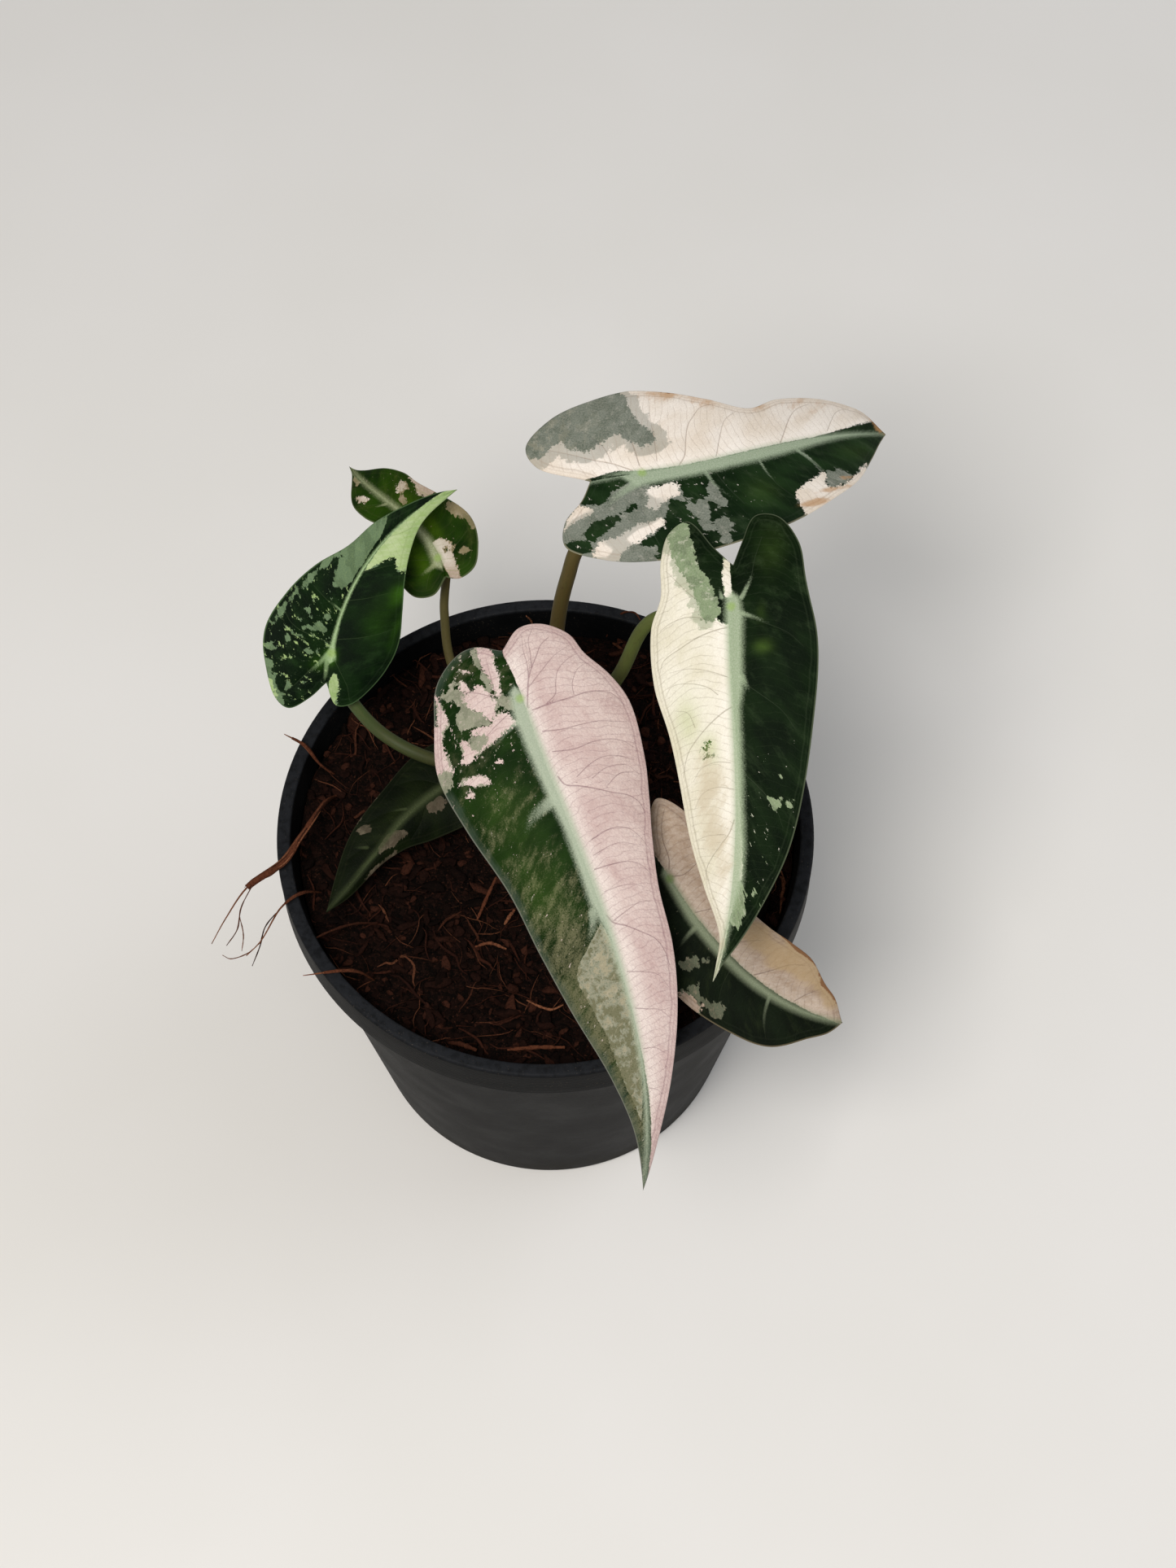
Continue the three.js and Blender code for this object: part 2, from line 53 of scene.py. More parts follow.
# Sizes of the pot, its soil and the crown
POT_HEIGHT = 100.0
RIM_RADIUS = 60.0
BODY_TOP_RADIUS = 58.4
FOOT_RADIUS = 44.0
WALL = 1.5
FLOOR = 2.0
FOOT_ROUND = 1.5
RIM_ROUND = 0.8
LIP_ROUND = 0.6
BAND_DEPTH = 10.0
DRAIN_HOLES = 8
DRAIN_RADIUS = 4.5
DRAIN_CIRCLE = 31.0
DRILL_ENDS = (-3.0, 1.0, 5.0)
SHARP_ANGLE = 38
SOIL_LEVEL = 92.0
SOIL_ROUGHNESS = 1.1
SOIL_TOP_CLEARANCE = 0.4
SOIL_SIDE_CLEARANCE = 0.35
SOIL_SIDE_HEIGHTS = (70, 40)
CROWN = (1.0, 10.6)
CROWN_RADIUS = 6.5
CROWN_FOOT = 76.0
CROWN_TOP = 95.0
CROWN_SHAPE = [(0.55, 0), (0.8, 0.1), (0.97, 0.3), (1, 0.55), (0.96, 0.78), (0.7, 0.94), (0.3, 0.99)]

# Sizes that all leaves share
BLADE_THICKNESS = 0.8
EDGE_THICKNESS = 0.4
EDGE_SLOPE = 3.0
NERVE_DEPTH = 0.7
NERVE_WIDTH = 1.1
NERVE_STOP = 0.8
GROOVE_DEPTH = 0.12
GROOVE_WIDTH = 0.5
TIP_TAPER = 30.0
WAVE_SHIFT = 0.13
QUILT = 0.3
VEIN_DIP = 1.2
VEIN_SLOPE = 0.45
VEIN_BEND = 0.008
VEIN_TIP_SHARE = 0.35
FARTHEST_VEIN = 5
SMALL_VEIN_SPACING = 1.75
UNPAINTED = -6.0
JOINT_MIDDLE = (0.8, 0)
GAP = 0.3
SHEATH_SHARE = 0.3
SHORTEST_SHEATH = 10.0
LONGEST_SHEATH = 17.0

# How finely the pieces are divided
LARGE_BLADE = 60.0
LARGE_SPACING = 0.42
SMALL_SPACING = 0.34
MARGIN_STEPS = 1200
EDGE_STEPS = 220
NERVE_STEPS = 60
FEATHER_STEPS = 12
MERGES_PER_MM = 2000
STALK_STEPS = 160
STALK_RINGS = 110
STALK_SIDES = 28
SHEATH_RINGS = 60
SHEATH_SIDES = 36
CROWN_SIDES = 48
POT_SIDES = 160
SOIL_RINGS = 84
SOIL_SIDES = 252
DRILL_SIDES = 32
CORE_RINGS = 80
ROOT_RINGS = 40
FINE_RINGS = 60
STRAW_RINGS = 41

# Where the last points of a row lie in the round edge, and a direction that no tube starts along
ROUND_EDGE = (0.62, 0.3, 0.09, 0.0)
ASIDE = (0.31, 0.17, 0.93)

# Each leaf's form and its stalk's route, as in the solids, and how its lateral veins lean to the tip
LEAVES = {
    "a": dict(
        attach=(-5, 5.1, 150), length=113, notch=10.5,
        heading=(-70, -69, -101), pitch=(14, 34, 56), roll=(0, 0, 0), droop=0.8,
        fold_left=(2, 0, -4), fold_right=(-4, -14, -10), curl_left=0.5, curl_right=1.3,
        wave=(0.6, 3, 0.1), half_width=22,
        left=[(99, 2.6), (86, 5.9), (70, 10), (60, 11.8), (48, 12.8), (38, 15.4), (30, 18.2), (22, 20.5),
              (9, 21.9), (1, 19.8), (-5, 16.4), (-10, 14.7), (-14, 9.8), (-14.4, 5)],
        right=[(99, 2.8), (86, 7.2), (70, 12.9), (54, 16.2), (38, 18), (22, 21.2), (9, 22.6), (0, 19.4),
               (-9, 15.6), (-13.3, 9.5), (-13.6, 5.4)],
        stalk=[(-1, 5.6, 116), (-4, 4.6, 134)], stalk_radius=1.6, slot="leaf_pink",
        vein_lead=(0.2, 1.4)),
    "b": dict(
        attach=(39, 16.6, 168), length=80, notch=8.2,
        heading=(-93, -89, -114), pitch=(16, 32, 50), roll=(-12, -12, -12), droop=0.6,
        fold_left=(8, 4, 0), fold_right=(8, 4, 0), curl_left=0.9, curl_right=0.9,
        wave=(0.5, 2.5, 0.3), half_width=17,
        left=[(76, 0.8), (70, 3.2), (60, 7.2), (49, 11.3), (27, 16), (8, 17.9), (-5, 15.3), (-13, 13.5),
              (-18.6, 9), (-18.9, 4.2), (-13, 1.6)],
        right=[(76, 0.5), (70, 1.2), (60, 6), (49, 9.8), (27, 13.5), (16, 16.4), (5, 16.8), (-1, 14.9),
               (-9.5, 15.2), (-16, 13.8), (-18.5, 10), (-12, 4)],
        stalk=[(8, 15.6, 116), (16.3, 19.6, 134), (23.6, 22.1, 153)], stalk_radius=1.5, slot="leaf_cream",
        vein_lead=(0.3, 1.7)),
    "c": dict(
        attach=(20, 47.1, 170), length=67, notch=10.3,
        heading=(12, 30, 24), pitch=(4, 22, 36), roll=(-6, -6, -6), droop=0.4,
        fold_left=(6, 4, 0), fold_right=(4, 2, 0), curl_left=0.6, curl_right=0.8,
        wave=(0.5, 2, 0.6), half_width=19,
        left=[(63.5, 6), (59, 8.3), (51, 10.6), (41, 11.6), (32, 10.4), (23, 14.5), (13, 18.7), (4, 20.2),
              (-6, 18.7), (-15.5, 16), (-21.8, 10.6), (-20.5, 5.5)],
        right=[(63.5, 2.7), (59, 6.3), (51, 11.6), (41, 15), (23, 18.9), (0, 19.8), (-11, 18.2),
               (-18.5, 13.8), (-17.5, 8.5), (-13, 4.2)],
        stalk=[(1.5, 25.6, 113), (2.8, 35.6, 129), (5.2, 37.1, 146), (8, 39.1, 156)],
        stalk_radius=1.65, slot="leaf_cream",
        vein_lead=(0.45, 1.3)),
    "d": dict(
        attach=(-47, 27.6, 128), length=48.5, notch=5.8,
        heading=(79, 51, 28), pitch=(-30, -20, 5), roll=(-20, -20, -20), droop=0.6,
        fold_left=(6, 8, 10), fold_right=(6, 8, 10), curl_left=0.8, curl_right=0.8,
        wave=(0.6, 2.5, 0), half_width=14,
        left=[(45, 1), (37, 2.6), (30, 4.3), (23, 5.6), (16.5, 9.6), (10, 12.9), (3, 15.3), (-4.4, 13.6),
              (-10.4, 10.7), (-12.2, 7.5), (-9.5, 3.2)],
        right=[(45, 1), (37, 2.9), (30, 6.1), (23, 9.4), (16.5, 12), (8, 14), (0, 13), (-6, 9.8),
               (-9.9, 6), (-10.4, 2.8)],
        stalk=[(-11, 10.6, 109), (-24.5, 9.6, 114), (-34.8, 13.6, 117), (-42.5, 22.1, 117)],
        stalk_radius=1.45, slot="leaf_green",
        vein_lead=(0.3, 1.2)),
    "e": dict(
        attach=(-23.5, 51.1, 130), length=36.5, notch=4.2,
        heading=(111, 134, 115), pitch=(-8, 8, 20), roll=(20, 20, 20), droop=0.6,
        fold_left=(4, 2, 0), fold_right=(4, 2, 0), curl_left=0.8, curl_right=0.8,
        wave=(0.5, 2, 0.4), half_width=10,
        left=[(34, 0.6), (32, 1.9), (27.5, 5.5), (22.5, 6.1), (17.5, 5.6), (12.4, 7.3), (5, 9.9), (0, 10.2),
              (-5.3, 8.2), (-6.8, 4)],
        right=[(34, 0.9), (32, 2.2), (27.5, 5.7), (22.5, 7.5), (17.5, 7.6), (12.4, 8.6), (5, 10.8), (0, 9.7),
               (-4.7, 7.2), (-5.8, 3)],
        stalk=[(-11, 26.6, 99), (-21, 37.6, 105), (-23, 46.6, 116)], stalk_radius=1.05, slot="leaf_green",
        vein_lead=(0.3, 1.0)),
    "f": dict(
        attach=(-18.7, 9.4, 105), length=43, notch=4.7,
        heading=(206, 231, 223), pitch=(0, 9, 14), roll=(8, 8, 8), droop=0.6,
        fold_left=(0, -30, -40), fold_right=(4, 2, 0), curl_left=0.8, curl_right=0.8,
        wave=(0.4, 2, 0.2), half_width=10,
        left=[(37, 1.6), (27, 2.6), (20.5, 4.6), (14, 7.6), (3.4, 9.8), (-3, 8.8), (-6.4, 5)],
        right=[(37, 3.3), (27, 7.1), (14, 8.6), (4, 10.5), (-3, 9.3), (-7.2, 5.2)],
        stalk=[(-8, 8.6, 96.5)], stalk_radius=1.1, slot="leaf_green",
        vein_lead=(0.3, 1.0)),
    "g": dict(
        attach=(26.5, -22.9, 122), length=50.5, notch=6,
        heading=(-52, -40, -7), pitch=(34, 18, 8), roll=(-16, -16, -16), droop=0.6,
        fold_left=(4, 2, 0), fold_right=(4, 2, 0), curl_left=0.8, curl_right=0.8,
        wave=(0.4, 2, 0.5), half_width=12,
        left=[(48, 4.7), (44.5, 7.2), (38.5, 11), (31, 11.6), (24, 10.8), (10, 9.7), (-3, 10.2), (-10, 10.1),
              (-15, 6.8), (-12, 2.8)],
        right=[(48, 2.8), (44.5, 5.2), (38.5, 10.2), (31, 12), (20, 13.6), (4, 12.1), (-4, 11), (-11, 9.6),
               (-14, 6), (-11, 2.4)],
        stalk=[(9, 0.6, 101), (17, -9.4, 108)], stalk_radius=1.3, slot="leaf_tan",
        vein_lead=(0.3, 0.9)),
}

# The patches of each blade, painted in order: pale tissue, mixed grey-green tissue, or green again.
# Each outline is in (s, t), and t is minus on the blade's left.
PATCHES = {
    "a": [
        ("pale", [(-20, 0.2), (-10.6, 0.1), (-4, -0.4), (0, -0.6), (10, -0.2), (30, 0.2), (60, 0.4),
                  (75, 0.1), (90, -0.6), (100, -0.9), (114, -0.6), (114, -30), (-20, -30)]),
        ("mixed", [(-13, 6.3), (-12.8, 5.2), (-8, 5), (-6.5, 4.9), (-4.5, 5.1), (-2.8, 5.2), (-1, 4.5),
                   (0.6, 4.4), (2.2, 3.3), (3, 2), (0, 1.5), (-1, 3), (-2.2, 3.4), (-2.6, 5.8), (-4, 6.2),
                   (-8, 6.2)]),
        ("mixed", [(-6.2, 15.8), (-6.4, 12.6), (-5.4, 10.6), (-3.6, 9.6), (-0.4, 10.4), (1, 8.6), (3, 7.2),
                   (4, 7.6), (4, 9.6), (3, 12), (3.2, 14.2), (0.6, 14.8), (-0.4, 13.8), (-1.6, 12.6),
                   (-3.6, 13.2), (-4.4, 15)]),
        ("mixed", [(-7.6, 13.2), (-8.2, 12), (-6.8, 11.2), (-6.2, 12.8)]),
        ("mixed", [(8.6, 23), (8.6, 20), (9.8, 18.8), (12, 20), (13.5, 23)]),
        ("mixed", [(50.5, 1.5), (54, 4.8), (58, 8.6), (61, 10), (65, 9.6), (70, 8.2), (75, 6.8), (82, 5.5),
                   (88, 4), (92, 2.5), (96, 1.2), (80, 0.2), (65, 0.3), (55, 0.6)]),
        ("pale", [(-13.6, 5.2), (-13.4, 3.9), (-11.2, 2.1), (-9.5, 2.2), (-7.3, 2.6), (-5, 2.7),
                  (-2.3, 3.3), (-0.8, 4), (-3, 4.6), (-6, 4.9), (-9, 4.9), (-12.5, 5.4)]),
        ("pale", [(-4.6, 8), (-4.4, 6.6), (-3, 6), (-1.2, 5.4), (0, 4.7), (1.4, 5.6), (2.6, 6.2), (3.2, 7.2),
                  (2, 8.2), (0.6, 9), (-0.4, 10.2), (-2, 11.2), (-3.4, 11.7), (-4.2, 10.4), (-3.8, 9.2)]),
        ("pale", [(2.4, 5.2), (3, 3.3), (5.4, 2.6), (6.2, 5), (7.2, 7.8), (8, 10.4), (8.7, 13), (9.4, 15.2),
                  (8.8, 16.7), (7.9, 15.6), (6.4, 15.2), (5.2, 15.4), (4.5, 14.6), (5.6, 13.6), (7, 13.4),
                  (7.6, 12), (7, 9.8), (5.6, 9.6), (4.8, 11), (4.3, 12.4), (3.6, 11.8), (4.1, 9.4),
                  (3.8, 7.4), (2.8, 6.4)]),
        ("mixed", [(4.7, 12.8), (5.4, 10), (5.8, 9.5), (7, 10), (7.7, 11.6), (7, 13.4), (5.6, 13.8)]),
        ("pale", [(-7.4, 10.8), (-7, 10), (-5.6, 9.8), (-4, 9.2), (-4.4, 10.4), (-6, 11.2)]),
        ("pale", [(-10, 10), (-9, 8.6), (-8.2, 8.1), (-8.8, 9.4)]),
        ("pale", [(-6.8, 16.6), (-4.8, 16.2), (-3, 16.1), (0.4, 16), (1.2, 17.2), (2.6, 18.4), (3.8, 19.1),
                  (6, 19.1), (8.2, 18.8), (9.8, 18.8), (8.8, 20.4), (8.6, 24), (4, 24), (0, 21),
                  (0, 18.5), (-3, 17.6)]),
        ("pale", [(12.6, 19), (12, 17.2), (12.4, 14.6), (12.6, 13.6), (13.6, 12.4), (15.2, 12.2),
                  (14.6, 14), (14.2, 15.6), (13, 17)]),
        ("pale", [(15.2, 18.4), (15, 16.8), (15.4, 16), (16, 16.6), (15.6, 18)]),
        ("pale", [(11.4, 9.6), (11.2, 8.6), (11.6, 8.2), (12, 9)]),
    ],
    "b": [
        ("pale", [(-17, 11.4), (-14, 10.2), (-10.5, 9.4), (-8, 8.4), (-5, 6.8), (-2.6, 5.2), (0, 4), (3, 3),
                  (4.4, 2), (4.6, 0.4), (20, 0), (40, -0.6), (50, -1.2), (56, -1.7), (60, -0.8),
                  (66, -0.3), (72, -0.4), (78, -0.5), (82, -2), (80, 30), (-10, 30), (-24, 20)]),
        ("mixed", [(-18.6, 13.4), (-18.8, 11), (-17, 9.6), (-14, 8.6), (-10.5, 7.9), (-8, 7), (-5, 5.2),
                   (-2.6, 3.8), (0, 2.4), (2.5, 2.3), (4.2, 3.6), (4.4, 5.2), (3.4, 6.2), (0, 7),
                   (-3, 8.6), (-6, 10.4), (-9, 12), (-12, 13.2), (-16, 14.4)]),
        ("mixed", [(57, -1), (58, -2.2), (61, -3), (64, -3.3), (67, -2.6), (66, -0.4), (62, -0.6)]),
        ("mixed", [(40.2, -6.4), (40.4, -9), (41.6, -9.4), (42.4, -8.2), (41.4, -6.8)]),
        ("mixed", [(35.5, -8.8), (36.2, -9.4), (36.6, -8.9)]),
        ("mixed", [(40.5, -10.8), (42, -11.4), (42, -10.6)]),
        ("mixed", [(58.4, -4.6), (59.4, -5.2), (59.6, -4.2)]),
        ("pale", [(-9.5, 1.9), (-9, 0.7), (-6, 0.5), (-3, 0.1), (-1, -0.2), (-1, 1.4), (-5, 1.9)]),
        ("green", [(28.2, 4.8), (28.6, 5.8), (30.2, 6.6), (30.4, 5.6), (29.4, 5.2), (28.8, 4.6)]),
        ("green", [(31.1, 6.4), (30.9, 4.9), (31.3, 3.4), (31.8, 3.4), (31.8, 5), (32.4, 6.4)]),
    ],
    "c": [
        ("mixed", [(-19, 14), (-19.4, 11), (-18.4, 8.6), (-16, 6.2), (-13.2, 5.4), (-11, 6), (-9.6, 6.4),
                   (-8, 5.4), (-6.6, 3.6), (-4, 2.6), (-2, 1.8), (0, 2), (1.6, 2.6), (2, 4), (7.4, 4.6),
                   (7.4, 8.6), (5, 7.4), (3.6, 9.6), (2.6, 12.2), (1, 13.6), (-1.8, 14.4), (-3.4, 15.8),
                   (-1.6, 16.8), (0.2, 17.2), (0.6, 22), (-4, 22), (-8, 22), (-13, 20), (-15.6, 16.4),
                   (-13.4, 15), (-13.4, 13.6), (-18, 13.2)]),
        ("mixed", [(9.4, 16), (8.4, 12), (7.4, 9.8), (8.4, 8), (9.2, 9.8), (10.4, 8.6), (12, 9), (12, 10.4),
                   (11, 12), (11.2, 14.4), (12.4, 13.4), (14.4, 13), (15.4, 15.6), (14, 17.4),
                   (13.6, 19.4), (11.8, 18.8), (11.6, 15.8)]),
        ("mixed", [(13.4, 11.6), (12.2, 9.6), (12.8, 6.4), (13.8, 4.6), (15, 6), (15.4, 9), (15.6, 11)]),
        ("mixed", [(38.6, 2.6), (39.6, 5), (40.6, 8), (41.4, 9), (42.6, 8.4), (45, 9), (48, 10), (50, 10.6),
                   (45, 12.6), (41, 12.6), (40.4, 9), (39.6, 6)]),
        ("green", [(-18.6, 13.2), (-18, 14.4), (-15, 16.6), (-12, 15.4), (-12.8, 14.6), (-13.6, 13.4),
                   (-14.3, 12.2), (-13.4, 11.2), (-11.4, 9.9), (-9, 9.3), (-6.2, 9.1), (-5.4, 10),
                   (-6.6, 10.8), (-8.6, 12), (-10.4, 13), (-12, 14), (-13.4, 14.2), (-16, 13.4)]),
        ("green", [(-6.2, 9), (-4, 7.8), (-2.2, 7), (-2, 8), (-4, 8.8)]),
        ("green", [(-3, 15.6), (-1.8, 16.8), (0, 17.2), (1.4, 16.6), (1.4, 15.4), (2.4, 14), (3, 12.2),
                   (2.4, 13), (0.6, 14), (-1, 14.4)]),
        ("green", [(-13.4, 4.9), (-12, 3.2), (-10.6, 1), (-8, 1.2), (-4.4, 1.6), (-6, 3), (-7.2, 4.4),
                   (-9.4, 5.6), (-11.6, 5.6)]),
        ("pale", [(-13.6, 17.2), (-12.8, 15.4), (-11, 14.4), (-8, 14), (-5.6, 13), (-3, 12.2), (0, 11.6),
                  (2.4, 11.2), (2.6, 12.4), (0.6, 14), (-1.6, 14.8), (-3.4, 15.8), (-5.6, 16.2),
                  (-6.6, 17.2), (-8, 18.8), (-11, 19.6)]),
        ("pale", [(-18, 10.3), (-17, 8.2), (-15.6, 6.4), (-13.6, 5.4), (-12.6, 6), (-11, 7.4), (-13.6, 8.6),
                  (-16, 9)]),
        ("pale", [(0.6, 6.4), (0.4, 4.4), (2, 3.6), (3.6, 4), (5, 3.6), (6.2, 3.2), (7.4, 4.6), (7.2, 6.4),
                  (6, 7), (4.4, 7), (2.6, 8.4), (1.4, 9.2), (0, 8.2)]),
        ("pale", [(31.2, 13.6), (31.4, 12.4), (33.6, 11.2), (36.4, 10.2), (39, 9.6), (41, 8.8), (41.6, 9.4),
                  (40, 11.6), (41, 12.6), (45, 12.6), (50, 10.8), (54, 8.6), (55.6, 8), (54, 12), (48, 15),
                  (42, 17), (36, 18), (32, 17)]),
        ("pale", [(-25, -0.5), (-10.4, -0.5), (-4, -1.2), (0, -0.6), (10, -0.2), (30, -0.2), (45, -0.2),
                  (50, -0.8), (55, -1.6), (60, -2.4), (64, -3.2), (70, -4), (70, -30), (-25, -30)]),
        ("mixed", [(-26, -7), (-21, -7.4), (-18, -7.6), (-16.8, -9.4), (-14.4, -9.6), (-13.2, -8),
                   (-10, -6.4), (-8, -6.8), (-6, -8), (-4.6, -9), (-2.6, -9.4), (0, -7.4), (2, -5.8),
                   (4, -6.2), (6, -7), (5.6, -9.2), (3.6, -10.6), (2.4, -13), (1.4, -16), (1.6, -18.4),
                   (0.4, -20), (-2, -26), (-12, -26), (-24, -20), (-26, -10)]),
    ],
    "d": [
        ("mixed", [(14.4, -2), (14.6, -4.4), (17, -5), (18.6, -5.6), (19.4, -5.4), (20.6, -5), (22, -8),
                   (25, -8), (29, -6), (33, -3.4), (31.4, -2.4), (29, -1.4), (25, -1), (22, -0.6),
                   (20, -0.8), (17, -0.8)]),
        ("mixed", [(4.8, -1.8), (4.6, -3.4), (4.6, -5.6), (6, -5.4), (6.6, -3.6), (5.8, -2.2)]),
        ("mixed", [(-9, -8.4), (-8.6, -9.6), (-7, -8.6), (-7.6, -7.8)]),
        ("mixed", [(-2.6, -14.6), (-2.8, -12.6), (-4.4, -12.2), (-6, -11.4), (-8, -10.4), (-9.6, -9.4),
                   (-11.6, -8.6), (-12, -12), (-6, -15)]),
        ("pale", [(-6.4, -13.8), (-6.8, -12), (-8.4, -11.2), (-10.2, -10.2), (-12, -12)]),
        ("mixed", [(-0.6, -12.4), (-0.4, -14), (0.8, -14.6), (1, -13.2)]),
        ("mixed", [(0, -4.2), (0.4, -6.2), (1, -5.8), (0.8, -4.4)]),
        ("mixed", [(7.6, -2), (7.8, -3.4), (8.8, -3.4), (8.6, -2.2)]),
        ("mixed", [(7.8, -6.8), (8, -8.2), (8.6, -8), (8.6, -7)]),
        ("mixed", [(21, -6), (18, -7.2), (16, -8.1), (14, -8.8), (12, -9.6), (10, -10.8), (8, -11.8),
                   (6, -12.6), (4, -13.4), (4, -14.2), (6, -13.6), (8, -12.8), (10, -11.8), (12, -10.8),
                   (14, -9.9), (16, -9), (18, -8), (21, -7)]),
        ("mixed", [(5.2, -4.6), (5.8, -6.4), (5.2, -8.2), (4.6, -7.6), (4.6, -5.6)]),
        ("mixed", [(1.6, -9.8), (2, -11), (2.8, -10.6), (2.4, -9.6)]),
        ("mixed", [(2.8, -7), (3, -8.2), (3.6, -8), (3.4, -7)]),
        ("mixed", [(11.6, -2.8), (11.8, -3.8), (12.6, -3.6), (12.4, -2.8)]),
        ("pale", [(20.5, 0.4), (22, 1.6), (24, 2.4), (25.6, 3), (27, 3.6), (27.2, 4.8), (25.4, 5.8),
                  (25, 6.8), (26.6, 9), (30, 9), (34, 6), (40, 4), (48, 3), (50, -1), (44, -0.6),
                  (38, -0.1), (30, 0.2), (25, 0.3)]),
        ("pale", [(-12, 2.8), (-10, 1.2), (-7.6, 0.6), (-5, 0.6), (-3.4, 1.2), (-3.6, 1.8), (-6.4, 2.8)]),
    ],
    "e": [
        ("mixed", [(-1.4, 7.6), (-1.6, 5.6), (-0.4, 5.2), (0.4, 6.2), (-0.6, 7.6)]),
        ("mixed", [(15.6, 2.4), (16.4, 1.6), (18, 1.8), (18.4, 2.8), (17, 3.4)]),
        ("mixed", [(29.4, -0.4), (29.6, -1.6), (32, -1.4), (32.4, -0.4)]),
        ("mixed", [(3, 9.6), (8.4, 7.6), (9.6, 8), (8, 12), (2, 12)]),
        ("pale", [(-7, 3.2), (-4.6, 1), (-2, 0.6), (2.5, 0.5), (4.6, 0.4), (4.4, 2.4), (3.4, 3.4),
                  (1.2, 4.4), (0.6, 3.4), (-3, 3.4)]),
        ("green", [(1, 1.8), (0.8, 2.8), (1.8, 3), (2.2, 2)]),
        ("pale", [(12.6, 9.4), (13.4, 6.4), (15.6, 5.6), (18, 7), (20, 7.6), (19, 10), (15, 10)]),
        ("pale", [(18.2, 5), (19, 3.4), (19.8, 2.8), (20.8, 4), (21, 5.4), (19.6, 5.8)]),
        ("pale", [(24.2, -2), (24.6, -3.2), (26, -4), (27.6, -3.8), (26.6, -2.8)]),
    ],
    "f": [
        ("mixed", [(6, -0.8), (5.6, -2.6), (7.6, -3.6), (9.4, -3.8), (10.6, -2.4), (10.2, -1)]),
        ("mixed", [(17.8, -1.4), (17.6, -2.4), (19.6, -2.6), (22, -2), (25.6, -0.6), (24.6, 0.4), (21, 0.8),
                   (19, 0)]),
        ("mixed", [(21.4, 5), (22.4, 6.6), (24.6, 6.6), (24.6, 4.6), (22.6, 3.8)]),
        ("mixed", [(14, 9), (17, 8), (24, 8), (24, 12), (14, 12)]),
        ("mixed", [(22.6, -3.4), (25, -2.4), (28, -1.8), (32, -1.6), (30, -6), (24, -6)]),
    ],
    "g": [
        ("pale", [(-18, 0.6), (-2, 0), (10, -0.2), (20, -0.6), (30, -0.7), (40, -0.6), (46, -0.2), (51, 0.4),
                  (54, -20), (-18, -20)]),
        ("mixed", [(16, 8.6), (16.4, 6.6), (17.4, 5), (19, 6), (19, 8.4), (17.6, 9)]),
        ("mixed", [(19, 4.6), (19.2, 3), (19.8, 3.4), (19.8, 4.6)]),
        ("mixed", [(20.6, 11), (21.4, 8.8), (22.6, 10), (25.4, 9.2), (28.4, 8.6), (29, 10.4), (28.6, 12),
                   (25, 11)]),
        ("mixed", [(-10, 4), (-9, 2.4), (-4, 3), (-2, 5), (-5, 6.4)]),
        ("pale", [(20.6, 16), (20.6, 12), (22, 11.4), (25, 11.4), (26, 16), (24, 17)]),
    ],
}

# Tones that all blades share, and the weak shine of leaves, plastic and coir
MARGIN_TONE = "#46544a"
LUMP_TONE = "#a49c82"
STREAK_TONE = "#b3ab93"
# a painted highlight on pale tissue beside the nerve
RIDGE_HIGHLIGHT_TONE = "#fbf6ee"
PALE_GRAIN_TONE = "#fff8f2"
BROWN_EDGE_TONE = "#6d4426"
UNDERSIDE_TONES = ("#6d7d58", "#cfc3b2")
DULL_SHINE = 0.06

# How far a patch's edge fades, in and out
RAGGED = (-0.07, 0.07)

# What a blade's finish is where the blade doesn't say otherwise
COMMON_FINISH = dict(
    rib_grains="#c8d0bc", tan_and_shade_tone="#b58a5c", joint_tone="#8fae55", glow="#5f7f33", pale_glow="#9fb25c",
    grain=0.75, veil=1.4, margin=0.0, motes=0.3, ridge_highlight=0.4, net=0.12, dusting=0.75, fringe=1.0,
    light_spots=[], tan_and_shade_spots=[])
